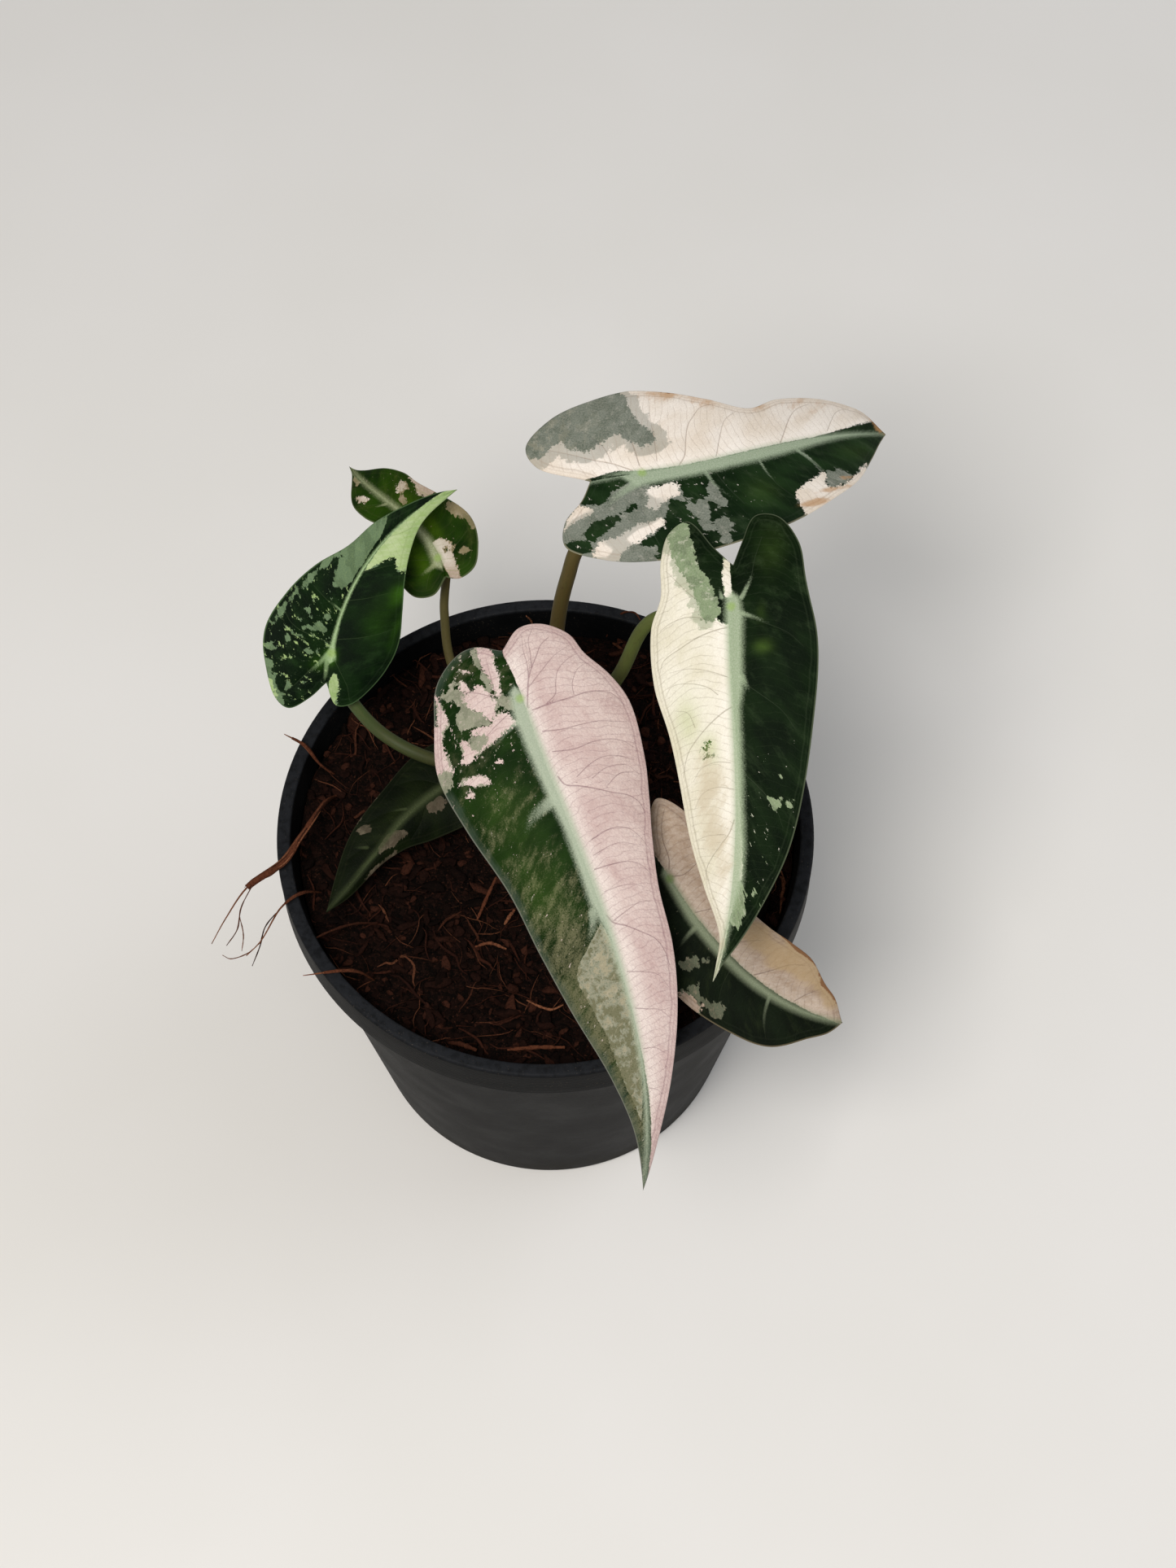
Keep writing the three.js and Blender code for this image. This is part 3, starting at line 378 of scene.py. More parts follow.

# Each blade's finish: its colours, how strongly flecks, mottling, light areas and tan areas show, and
# how far the pale rib reaches on its left and right. On b the tan areas are painted shade, darkening
# the cream towards the lower blade. Curves give (s, value), and spots give
# (s, t, reach along, reach across, strength).
FINISHES = {
    "a": dict(
        pale="#d6c2bc", pale_shade="#c2a6a2", mixed="#8c8f7a", dark="#092102", light="#1c350c",
        mottle_tone="#6d6c50", net=0.22, vein="#85616a", rib_tone="#a9b59f", edge_tone="#83857a",
        rib=([(-3, 0.4), (4, 1.1), (30, 0.9), (60, 0.5), (112, 0.1)],
             [(-3, 1.2), (4, 2.5), (20, 2.2), (30, 1.6), (46, 2.2), (52, 1.2), (70, 0.8), (112, 0.2)]),
        flecks=([(-20, 0), (113, 0)],
                [(-20, 0.6), (10, 0.5), (16, 0.4), (30, 0.36), (50, 0.42), (113, 0.4)]),
        margin=0.45,
        mottle=([(-20, 0), (113, 0)], [(-20, 0), (12, 0.05), (15, 0.5), (26, 0.6), (30, 0.4), (36, 0.75),
                                       (50, 0.8), (58, 1.0), (80, 1.05), (113, 1.1)]),
        light_spots=[(40, 11, 8, 5, 0.2), (22, 12, 8, 6, 0.15)]),
    "b": dict(
        pale="#eae6d6", pale_shade="#d8d2b9", mixed="#80926f", dark="#031102", light="#0f2109",
        mottle_tone="#33442a", vein="#948b76", rib_tone="#9fb091", edge_tone="#626c54",
        rib=([(-3, 1.2), (3, 2.5), (18, 2.2), (22, 1.4), (42, 1.4), (50, 1.9), (58, 1.9), (64, 0.8),
              (80, 0.2)],
             [(-3, 1.2), (3, 1.0), (30, 0.6), (62, 0.3), (80, 0.1)]),
        flecks=([(-20, 0.14), (20, 0.16), (34, 0.36), (60, 0.42), (72, 0.1)], [(-20, 0.1), (0, 0), (80, 0)]),
        mottle=([(-20, 0.3), (40, 0.2), (80, 0.05)], [(-20, 0.3), (5, 0.2), (80, 0)]),
        light_spots=[(9.6, -6.8, 1.3, 1.7, 0.45), (2.4, -6.4, 2, 1, 0.12), (-11, -8, 5, 3, 0.12),
                     (30, 5.2, 3, 1.8, 0.9), (24, 9.6, 5, 2.6, 0.8)],
        # b's tan spots are painted shade: they darken the cream towards the lower blade
        tan_and_shade_tone="#c6b99f",
        tan_and_shade_spots=[(37, 6, 11, 5, 0.75), (49, 3.4, 8, 4, 0.6), (62, 2, 8, 3, 0.45), (72, 0.4, 6, 1.4, 0.5)]),
    "c": dict(
        pale="#eae2d8", pale_shade="#d8cab8", veil=2.6, mixed="#6d7469", dark="#081b06", light="#1c3216",
        mottle_tone="#3c4a34", vein="#a39282", rib_tone="#9bab91", edge_tone="#99957d",
        rib=([(-4, 0.7), (2, 0.6), (60, 0.1)],
             [(-6, 3.4), (-2, 3), (8, 2.7), (30, 2.7), (40, 2.2), (50, 1.2), (62, 0.4), (67, 0.2)]),
        flecks=([(-24, 0), (67, 0)], [(-24, 0.4), (6, 0.5), (18, 0.42), (30, 0.2), (67, 0.24)]),
        mottle=([(-24, 0.5), (6, 0.3), (67, 0.1)], [(-24, 0.3), (67, 0.2)]),
        motes=0.12, light_spots=[(24, 10, 4, 3, 0.12), (54, 5, 6, 2, 0.1)],
        tan_and_shade_spots=[(50, -9, 10, 4, 0.55), (14, -19, 7, 3.2, 0.95), (22, -14, 5, 3, 0.75),
                   (34, -10, 7, 2.2, 0.6), (66, -4, 2.4, 5, 1.5), (35, 15, 6, 0.9, 1.2),
                   (42, 13, 7, 0.7, 0.9), (47, 11, 5, 0.7, 0.7), (6, -18, 4, 3, 0.5)]),
    "d": dict(
        pale="#a6bf7e", pale_shade="#86a55e", mixed="#62785a", dark="#031104", light="#0c2406",
        mottle_tone="#28431f", vein="#8fa36c", rib_tone="#9dba86", edge_tone="#5d7850",
        rib=([(-3, 0.2), (0, 0.8), (3, 0.5), (8, 0.34), (22, 0.3), (34, 0.1), (48, -0.1)],
             [(-3, 0.2), (0, 0.8), (3, 0.4), (8, 0.2), (22, 0.16), (34, 0.1), (48, -0.1)]),
        dusting=0.3, fringe=0.4, motes=0.1, veil=-9, ridge_highlight=0.05,
        flecks=([(-12, 0.56), (4, 0.66), (12, 0.6), (18, 0.5), (30, 0.34), (48, 0.3)],
                [(-12, 0.06), (48, 0.02)]),
        mottle=([(-12, 0.3), (48, 0.2)], [(-12, 0.1), (48, 0.1)]),
        light_spots=[(12, 8, 6, 3, 0.2), (19.6, 9.4, 3.4, 1.6, 0.55), (0, 0, 1.6, 1.2, 1.1),
                     (11, 12.4, 6, 0.9, 0.25), (-2, -2.6, 1.4, 1.6, 0.4)],
        grain=0.55, glow="#3a680c", pale_glow="#3a680c"),
    "e": dict(
        pale="#b8a898", pale_shade="#a08a7a", mixed="#84795a", dark="#0c2102", light="#254202",
        mottle_tone="#3f4d1c", vein="#8f9060", rib_tone="#98a079", edge_tone="#667050",
        rib=([(-3, 1.0), (0, 1.5), (5, 1.0), (10, 0.6), (36, 0.1)],
             [(-3, 0.8), (2, 0.8), (10, 0.6), (36, 0.2)]),
        dusting=0.55,
        flecks=([(-7, 0.2), (36, 0.3)], [(-7, 0.3), (36, 0.4)]),
        mottle=([(-7, 0.2), (36, 0.5)], [(-7, 0.25), (36, 0.5)]),
        light_spots=[(2, -4, 7, 2, 0.4), (8, 2.4, 5, 1.6, 0.6), (16, 3, 6, 3, 0.3)],
        glow="#4d6e06", pale_glow="#4d6e06"),
    # f's tones are partly its own dark green, partly painted shade, as it lies low in the shadow of the
    # leaves above
    "f": dict(
        pale="#6a6050", pale_shade="#5a4f40", mixed="#50483b", dark="#050c02", light="#101906",
        mottle_tone="#232a14", vein="#4c5235", rib_tone="#3c452b", rib_grains="#5c6347", joint_tone="#3a4a20",
        edge_tone="#2b2e20",
        rib=([(-3, 0.4), (4, 0.5), (17, 0.1), (43, 0.1)],
             [(-3, 0.9), (4, 1.1), (17, 1.2), (24, 0.6), (43, 0.2)]),
        dusting=0.15, flecks=([(-7, 0.2), (43, 0.3)], [(-7, 0.2), (43, 0.3)]),
        mottle=([(-7, 0.3), (43, 0.5)], [(-7, 0.3), (43, 0.5)]),
        light_spots=[(14, 2.5, 8, 2, 0.12)], glow="#3a4c14", pale_glow="#3a4c14"),
    # g's tones are partly its own colours, partly painted shade, as it lies low in the shadow of the leaves
    # above
    "g": dict(
        pale="#a8937f", pale_shade="#8f7a67", mixed="#565d4b", dark="#040c02", light="#0e1909",
        mottle_tone="#2c351d", vein="#6d5a50", rib_tone="#7a846b", rib_grains="#9ba38c", joint_tone="#5c7636",
        edge_tone="#7b7058",
        rib=([(-3, 0.6), (51, 0.4)], [(-3, 0.8), (10, 1.6), (30, 1.3), (42, 0.8), (51, 0.3)]),
        dusting=0.25, ridge_highlight=0.1,
        flecks=([(-18, 0), (51, 0)], [(-18, 0.2), (12, 0.36), (30, 0.2), (51, 0.3)]),
        mottle=([(-18, 0.2), (51, 0.3)], [(-18, 0.15), (51, 0.15)]),
        tan_and_shade_tone="#a58d68",
        tan_and_shade_spots=[(33, -8, 16, 4, 1.1), (24, -7, 6, 3, 0.3), (47, -4, 3, 3, 0.8),
                   (38, -11.2, 7, 0.7, 0.9), (45.4, -7, 4, 0.8, 0.8), (27, -11.6, 6, 0.5, 0.7)]),
}

# The veins that stand out, each with its width at its start and its line in (s, t)
VEINS = {
    "a": [
        (0.3, [(4, -1.6), (3.9, -6), (4, -10), (4, -14), (4.8, -17), (6.5, -19.2), (9.4, -20.4)]),
        (0.34, [(19, -1.4), (21.2, -2.2), (22.6, -5), (24.4, -8), (26.4, -11), (28.2, -14), (30.4, -15.6),
                (34, -16)]),
        (0.34, [(49.6, -0.2), (51.4, -1), (53, -3.4), (55.2, -6), (57.4, -8.4), (60, -9.6), (65, -10)]),
        (0.24, [(9, -2), (10, -6), (10.4, -10), (11, -14), (12.2, -17), (13.4, -20)]),
        (0.24, [(13.8, -2.4), (14.9, -7), (14.8, -11), (15.6, -15), (17, -17.4), (19, -19)]),
        (0.2, [(20.6, -5), (19, -9), (18.6, -12), (19.5, -15), (21.6, -18)]),
        (0.16, [(22, -8), (21, -12), (22, -16), (25, -18)]),
        (0.16, [(24.6, -10.5), (23.2, -14), (24, -17)]),
        (0.2, [(33.8, -3), (33.2, -8), (34.4, -11), (36.5, -12.6), (40, -13.8)]),
        (0.16, [(37, -2), (36.4, -7), (37, -9.5), (39, -12)]),
        (0.24, [(39.8, -1.2), (40.1, -5), (40.8, -8.4), (42.4, -10.8), (45.6, -12.4)]),
        (0.16, [(44.8, -1.5), (44.9, -5), (45.6, -8), (47, -10)]),
        (0.2, [(51.2, -1), (50, -5), (49.4, -8), (50, -10)]),
        (0.2, [(62.2, -0.8), (63.2, -4), (64.8, -7), (68, -8.6)]),
        (0.22, [(70.2, -0.6), (71, -3), (71.8, -5.4), (74, -7.4)]),
        (0.22, [(79.2, -0.6), (79.4, -3), (81, -5)]),
        (0.16, [(88, -0.6), (88.6, -2.4), (90, -3.6)]),
        (0.34, [(3, -0.9), (0, -2), (-2.6, -3.1), (-4.6, -4.4), (-7, -6.4), (-9, -8), (-10.4, -10.4)]),
        (0.22, [(-2.6, -3.1), (-5.6, -3.9), (-9, -4.2), (-12.4, -5)]),
        (0.2, [(-4.6, -4.4), (-8, -5.4), (-11, -6), (-13.6, -8)]),
        (0.22, [(3.6, -5), (2.2, -7.4), (0, -8.2), (-2.6, -9.6), (-4.4, -12.4), (-5.2, -15.2)]),
        (0.18, [(-1, -2.6), (-4, -7), (-6, -10), (-7.4, -14)]),
        (0.18, [(3.8, -11), (1, -11.6), (-1.6, -13.6), (-2.6, -16)]),
        (0.26, [(1.4, 3.2), (-1, 5), (-3, 7.4), (-4.4, 10), (-5.2, 12.4)]),
        (0.2, [(3.2, 3.6), (4.6, 7), (6, 10), (6.6, 13)]),
        (0.2, [(-1.8, 4.6), (-6, 4.2), (-10, 3.8)]),
    ],
    "b": [
        (0.28, [(5.2, 0.6), (5.6, 2.5), (7, 6.5), (9.2, 10.5), (11.6, 14.2), (14, 15)]),
        (0.28, [(21.6, 0.2), (22.6, 2), (25, 5), (28, 7.8), (31, 9.8), (36, 11)]),
        (0.26, [(44.6, 0.4), (47.5, 1.4), (50, 3), (53, 4.8), (56, 5.8), (60, 5.2)]),
        (0.18, [(19, 3), (17.4, 5), (16.4, 9), (16.8, 12.5), (19, 14)]),
        (0.16, [(15.4, 1), (14, 5), (13.4, 9), (14, 13)]),
        (0.16, [(25.4, 8), (22.4, 9.4), (21.8, 12)]),
        (0.16, [(33, 1), (32.8, 4), (34, 7), (37, 9)]),
        (0.18, [(38.4, 0.6), (38, 4), (39.4, 7), (43, 8.8)]),
        (0.16, [(47.8, 2.4), (48.4, 6), (49.4, 8)]),
        (0.22, [(0, 2.6), (-4, 5.4), (-8, 8.6), (-12, 10.4), (-16, 12)]),
        (0.2, [(1, 5), (-2, 9), (-5, 12), (-7, 14)]),
        (0.2, [(3.4, 5), (3, 9), (4, 12.4), (5.6, 15)]),
        (0.2, [(-1, -2.6), (-4, -3.8), (-9, -4.6), (-14, -6)]),
        (0.2, [(3, -3), (4.6, -7), (7, -12), (10, -15)]),
        (0.2, [(17, -2.6), (19.6, -6), (23, -10), (27, -12.6)]),
        (0.2, [(35, -1.4), (38, -4.6), (42, -8), (46, -9.6)]),
    ],
    "c": [
        (0.3, [(9.2, -0.4), (11, -2.2), (12.8, -6), (14.6, -9), (17, -11), (20, -12.8), (24, -13)]),
        (0.22, [(18, -0.6), (21, -5), (24, -8.4), (28, -10)]),
        (0.28, [(34.6, -0.2), (38, -3.4), (41, -6), (44, -7.8), (49, -9)]),
        (0.2, [(49, -1.2), (52, -3.8), (55, -6), (59, -7)]),
        (0.26, [(0.6, -1.6), (0.3, -6), (-0.6, -10), (-1.4, -14), (-0.6, -17)]),
        (0.3, [(-1, -0.8), (-5, -3), (-9, -4.6), (-13, -6.6), (-18, -9)]),
        (0.2, [(-5, -3), (-6, -7), (-9, -11), (-12, -14)]),
        (0.18, [(4.6, -2), (5.6, -8), (6.4, -13), (8, -17)]),
        (0.3, [(-0.4, 5.4), (-0.9, 8), (-0.4, 11), (0.2, 14), (1, 17)]),
        (0.26, [(-3, 2.6), (-7, 5.4), (-11, 8.4), (-15, 11)]),
        (0.26, [(38.6, 2.4), (39.6, 5), (41.2, 8), (42.6, 11)]),
        (0.2, [(27, 2.8), (27.2, 6), (28.4, 9.6), (31, 13)]),
        (0.2, [(16, 2.8), (17, 7), (19, 12)]),
    ],
    "d": [
        (0.2, [(0, 0.6), (-3, 2.6), (-6, 4.6), (-9, 5.6)]),
        (0.2, [(1, -0.8), (-2, -3), (-4.6, -5), (-8, -8), (-9.6, -11)]),
        (0.22, [(3, -0.4), (3.6, -5), (5, -10), (8, -13)]),
        (0.22, [(10.2, -0.4), (11.2, -3.6), (13, -8)]),
        (0.2, [(4, 0.6), (5.6, 5), (8, 9), (11, 12)]),
        (0.2, [(13, 0.4), (15.4, 4), (19, 7.6)]),
        (0.18, [(20, 0.4), (23, 3), (26, 5.4)]),
        (0.14, [(30, 0.3), (33, 1.8), (37, 2.4)]),
    ],
    "e": [
        (0.24, [(-0.4, -1.4), (-2.4, -3.4), (-5, -5)]),
        (0.2, [(1, -1.8), (4, -6), (5.6, -8.6)]),
        (0.2, [(1, 1.6), (1.4, 5), (3, 9)]),
        (0.18, [(9, 0.8), (11, 4), (13, 7)]),
        (0.18, [(17, 0.8), (20, 4), (23, 6.4)]),
        (0.18, [(10, -0.8), (12, -4), (15, -6)]),
        (0.16, [(20, -0.4), (23, -3), (26, -5)]),
    ],
    "f": [
        (0.22, [(5, 1.4), (8, 5), (12, 7.4)]),
        (0.2, [(14, 1.4), (18, 4.4), (23, 6.4)]),
        (0.2, [(23, 1), (27, 3), (31, 4.4)]),
        (0.2, [(10, -0.6), (14, -3), (18, -4)]),
        (0.18, [(2, -0.6), (0, -5), (-2, -7)]),
    ],
    "g": [
        (0.3, [(0.6, -0.6), (1.6, -3), (1.2, -5.6), (0.6, -8)]),
        (0.3, [(-1, -0.8), (-3, -2), (-7, -3), (-10, -4.6), (-12.4, -7)]),
        (0.28, [(28.6, -1), (31, -4), (34, -7.4), (37.6, -9.2)]),
        (0.24, [(10, -0.6), (11, -3), (13, -7)]),
        (0.2, [(19.4, -1), (22, -5), (25, -8)]),
        (0.2, [(39, -1), (41, -3.6), (44, -6)]),
        (0.3, [(34.4, 0.9), (34.6, 3), (35.6, 6), (37.6, 9)]),
        (0.22, [(24, 1.2), (25, 5), (27, 9)]),
        (0.2, [(13, 1.6), (13.4, 5), (14, 8)]),
    ],
}

# Soft pale feathers that leave the rib on green tissue: the reach beside each line, and its line
FEATHERS = {
    "a": [(1.9, [(23.2, 1.5), (24, 4), (25.2, 7), (27, 9)]), (0.8, [(5.2, 2), (6.4, 5), (8.4, 9)]),
          (1.3, [(48, 2.4), (51, 3.4), (54, 5.6)])],
    "b": [(0.7, [(-1, -2.2), (-3.6, -3.4), (-6, -4.4)]), (0.7, [(2.4, -2.4), (3.2, -4.6), (4.8, -8)]),
          (1.0, [(15.6, -2), (17, -2.8), (18.6, -3.4)]), (0.6, [(-1, 2), (-3, 2.6)])],
    "c": [(0.8, [(37.6, 2.4), (39, 4.4), (40.8, 7.6), (41.6, 9)]), (0.5, [(27, 2.8), (27.2, 6), (28, 8.6)]),
          (1.4, [(-1, 2.4), (-5, 4.4), (-9, 7)]), (0.7, [(14, 3), (14.6, 6), (17, 10)]),
          (0.8, [(0, -0.4), (-5, -0.6), (-9, -0.3)])],
    "d": [(0.9, [(0.6, -0.6), (-1.4, -2), (-4.6, -4.8)]), (0.7, [(0.4, 0.6), (-1, 1.2)]),
          (0.35, [(10.4, -0.4), (11.4, -3.4)]), (0.8, [(0, -0.8), (-4, -0.5), (-5.6, -0.6)])],
    "e": [(0.9, [(-0.4, -1), (-1, -3), (-1.6, -5)]), (0.5, [(20, -0.6), (22, -3)])],
    "f": [(0.5, [(14, 1.6), (17, 4)]), (0.6, [(26, 2.4), (28, 5)]), (0.6, [(26, 0), (34, 1)])],
    "g": [(0.55, [(34, 0.8), (34.4, 2.6), (35.4, 5.4), (37.4, 8.6)]),
          (0.8, [(12.6, 1.6), (13, 4), (13.8, 6.6)])],
}

# Each stalk's material slot, and its colours at its sheath and at its blade: darker than the stalks' own
# green, as painted shade for the dim light under the leaves, darkest on d and f
STALKS = {
    "a": ("stalk_green", "#565030", "#66703f"), "b": ("stalk_green", "#454724", "#56622f"),
    "c": ("stalk_tan", "#4c4022", "#584c28"), "d": ("stalk_green", "#33331a", "#40502a"),
    "e": ("stalk_tan", "#4c4526", "#524b2a"), "f": ("stalk_green", "#33351b", "#3e4420"),
    "g": ("stalk_green", "#464222", "#54572d"),
}

# Coir and bark in dark, middle and light: the bits, the fibres and the loose strands. The bits and fibres are
# partly coir's own dark brown, partly painted shade for the dim light over the soil.
COIR_TONES = {
    "husk_bits": ("#0c0604", "#20100b", "#3d2218"),
    "coir_fibres": ("#1c0e0a", "#371d14", "#5f3b29"),
    "coir_strands": ("#2c170f", "#5c3524", "#8a5a40"),
}

# Bits strewn over the soil's top, whose area is in square metres: how many, the smallest and largest
# size, how far they are lifted or how thick they are, and the seed. Turns are in radians.
SOIL_AREA = 0.0095
UPWARD = 0.5
CHIP_GAP = 0.3
FIBRE_GAP = 0.7
CHIP_TURNS = ((-0.5, -0.5, 0.0), (0.5, 0.5, 6.28))
FIBRE_TURNS = ((-0.12, -0.2, 0.0), (0.12, 0.2, 6.28))
FIBRE_POINTS = 9
FIBRE_SIDES = 5
CHIPS = {
    "husk_crumbs": (950, (0.5, 0.35, 0.25), (1.3, 0.9, 0.6), 0.2, 11),
    "husk_flakes": (330, (1.2, 0.5, 0.25), (3.4, 1.3, 0.6), 0.6, 23),
}
FIBRES = {
    "coir_fibres_fine": (420, 4, 13, 0.12, 37),
    "coir_fibres_thick": (130, 6, 16, 0.3, 41),
}

# Loose coir strands, bedded in the soil at one end and hanging over the rim at the other: the widest
# radius, the share of the length where the twig ends and a hair root goes on, and the route
STRANDS = {
    "long": (1.1, 0.73, [(-47, 13.6, 90), (-50, 6.6, 98.5), (-54, -2.9, 101.8), (-58, -10.1, 102.2),
                         (-65.3, -15.7, 102), (-70.3, -21.9, 98.5), (-73.5, -26.4, 95)]),
    "back": (0.5, 0.9, [(-47, 17.6, 90), (-51.5, 17.1, 98.5), (-54.5, 19.9, 101.6), (-59.2, 22.4, 102.5)]),
    "short": (0.5, 0.55, [(-49, -11.4, 90), (-53, -15.9, 99.5), (-55, -17.9, 101.6), (-58, -20.9, 101.6),
                          (-62.3, -27.4, 98.5), (-65.5, -30, 96.5)]),
    "front": (0.5, 0.8, [(-37, -33.4, 90), (-40.5, -35.2, 99.5), (-43, -35.8, 101.6), (-52.3, -36.9, 101.3)]),
}

# Straws that lie on the soil, and hair roots by the rim: the radius and the route
STRAWS = [
    (0.42, [(-10.9, -10.6, 96.4), (-13, -15.5, 95.8), (-15.1, -20.3, 94.4)]),
    (0.42, [(-6.8, -18.2, 95.2), (-7.9, -20, 95.6), (-9, -21.6, 94.8)]),
    (0.32, [(-37.1, -20.8, 94), (-42.2, -21.8, 95.6), (-47.4, -24.2, 96.8), (-51.7, -27.3, 98.2)]),
    (0.4, [(-15.4, -26.8, 94.4), (-12.1, -26.4, 95.4), (-8.5, -27.4, 94.4)]),
    (0.5, [(-8, -51.5, 94.6), (-1.5, -51.2, 95.3), (4.5, -51, 94.8)]),
    (0.6, [(-20.8, -49.7, 94.4), (-18.1, -50.4, 95.2), (-14.6, -51.6, 94.6)]),
    (0.3, [(-3.9, -39.5, 94), (-0.9, -41.5, 95), (1.6, -42.2, 95.1), (4.1, -40.7, 94.2)]),
    (0.24, [(13.8, 54, 92.6), (15.4, 55.4, 97), (17.8, 55.8, 100.6), (20.4, 54.6, 102.4),
            (21.6, 52.4, 102.8)]),
    (0.2, [(14.6, 54.4, 92.6), (18, 55, 96.4), (22, 53.8, 99.4), (25.2, 51.6, 101.4)]),
    (0.22, [(-3.2, 56, 92), (-3.8, 55.4, 97.6), (-4.8, 54, 102)]),
]
HAIR_ROOTS = [
    (0.16, [(-64.4, -15, 101.4), (-67.2, -18.4, 97), (-68.6, -21, 91), (-71.4, -22.6, 86)]),
    (0.14, [(-67.8, -19.4, 95), (-67.4, -21.4, 89), (-68.2, -23, 84)]),
    (0.16, [(-57.6, -20.4, 101.6), (-61.4, -23.4, 98), (-63.2, -25.6, 92), (-65.4, -27.6, 86)]),
    (0.13, [(-63, -25.2, 93), (-66.6, -25.6, 88), (-70.4, -25.4, 85), (-72.6, -23.6, 83)]),
]


# Curves and outlines

def through(values, share):
    """The parabola through three equally spaced values, at shares from 0 to 1."""
    first, middle, last = values
    rise = 4 * middle - 3 * first - last
    bend = 2 * first + 2 * last - 4 * middle
    return first + rise * share + bend * share * share


def smooth_line(points, count):
    """A centripetal curve through the points, with count equal steps along its own count of points."""
    p = np.asarray(points, float)
    p = np.vstack([2 * p[0] - p[1], p, 2 * p[-1] - p[-2]])
    at = np.linspace(0, len(p) - 3, count + 1)
    i = np.minimum(at.astype(int), len(p) - 4)
    u = (at - i)[:, None]
    a, b, c, d = p[i], p[i + 1], p[i + 2], p[i + 3]
    ka, kb, kc = (np.maximum(np.linalg.norm(y - x, axis=1), 1e-9)[:, None] ** 0.5
                  for x, y in ((a, b), (b, c), (c, d)))
    leave = ((b - a) / ka - (c - a) / (ka + kb) + (c - b) / kb) * kb
    arrive = ((c - b) / kb - (d - b) / (kb + kc) + (d - c) / kc) * kb
    return (2 * u**3 - 3 * u**2 + 1) * b + (u**3 - 2 * u**2 + u) * leave \
        + (3 * u**2 - 2 * u**3) * c + (u**3 - u**2) * arrive


def read_line(line, known, at):
    """A line's points at new places, where its own points lie at the known places."""
    return np.stack([np.interp(at, known, column) for column in line.T], -1)


def evenly(line, count):
    """The line again as count + 1 points with equal lengths between them."""
    length = np.concatenate([[0], np.cumsum(np.linalg.norm(np.diff(line, axis=0), axis=1))])
    return read_line(line, length, np.linspace(0, length[-1], count + 1))


def part_line(line, first, last, count):
    """The part of a line between two shares of its points."""
    at = np.linspace(first, last, count) * (len(line) - 1)
    return read_line(line, np.arange(len(line)), at)


def line_length(line):
    return float(np.linalg.norm(np.diff(line, axis=0), axis=1).sum())


def way_to(points, start, end):
    """The way from each point to a straight stretch, and how far along the stretch it arrives."""
    along = end - start
    share = np.clip((points - start) @ along / max(along @ along, 1e-12), 0, 1)
    return start + share[:, None] * along - points, share


def line_distance(points, line):
    """The distance of each flat point from an open line."""
    nearest = np.full(len(points), np.inf)
    for start, end in zip(line[:-1], line[1:]):
        nearest = np.minimum(nearest, np.linalg.norm(way_to(points, start, end)[0], axis=1))
    return nearest


def patch_reach(points, outline):
    """How far each flat point lies inside a closed outline, minus outside."""
    closed = np.array([*outline, outline[0]], float)
    inside = np.zeros(len(points), bool)
    for (ax, ay), (bx, by) in zip(closed[:-1], closed[1:]):
        crosses = (ay > points[:, 1]) != (by > points[:, 1])
        at = ax + (points[:, 1] - ay) * (bx - ax) / (by - ay if by != ay else 1e-9)
        inside ^= crosses & (points[:, 0] < at)
    distance = line_distance(points, closed)
    return np.where(inside, distance, -distance)


# A blade's surface

def blade_axes(leaf, s):
    """The directions along a blade, to its right and out of its upper side."""
    share = np.clip(s / leaf["length"], 0, 1)
    pitch = np.radians(through(leaf["pitch"], share) + leaf["droop"] * np.minimum(s, 0))
    heading = np.radians(through(leaf["heading"], share))
    roll = np.radians(through(leaf["roll"], share))
    ahead = np.stack([np.cos(pitch) * np.cos(heading), np.cos(pitch) * np.sin(heading), -np.sin(pitch)], -1)
    level = np.stack([np.sin(heading), -np.cos(heading), 0 * heading], -1)
    above = np.cross(level, ahead)
    right = level * np.cos(roll)[..., None] + above * np.sin(roll)[..., None]
    return ahead, right, np.cross(right, ahead)


def nerve_points(leaf, s):
    """Points on the nerve's line, which runs on straight into the notch where s is minus."""
    step = leaf["length"] / NERVE_STEPS
    ahead = blade_axes(leaf, (np.arange(NERVE_STEPS) + 0.5) * step)[0]
    line = np.array(leaf["attach"], float) + np.vstack([np.zeros(3), np.cumsum(ahead * step, 0)])
    known = np.linspace(0, leaf["length"], NERVE_STEPS + 1)
    back = np.minimum(s, 0)
    return read_line(line, known, np.maximum(s, 0)) + blade_axes(leaf, back / 2)[0] * back[..., None]


def blade_middle(leaf, s, t, side):
    """The blade's middle surface, folded and curled about the nerve, with a waved margin."""
    _, right, up = blade_axes(leaf, s)
    share = np.clip(s / leaf["length"], 0, 1)
    name = "left" if side < 0 else "right"
    fold = np.radians(through(leaf["fold_" + name], share))
    curl = math.radians(leaf["curl_" + name])
    width = np.abs(t)
    out = (np.sin(fold) - np.sin(fold - curl * width)) / curl
    rise = (np.cos(fold - curl * width) - np.cos(fold)) / curl
    height, count, start = leaf["wave"]
    turn = 2 * np.pi * (count * s / leaf["length"] + start + WAVE_SHIFT * side)
    ripple = height * (width / leaf["half_width"]) ** 2 * np.sin(turn)
    return nerve_points(leaf, s) + right * (side * out)[..., None] + up * (rise + ripple)[..., None], up


def margin_line(leaf, side):
    margin = leaf["left"] if side < 0 else leaf["right"]
    return smooth_line([(leaf["length"], 0), *margin, (-leaf["notch"], 0)], MARGIN_STEPS)


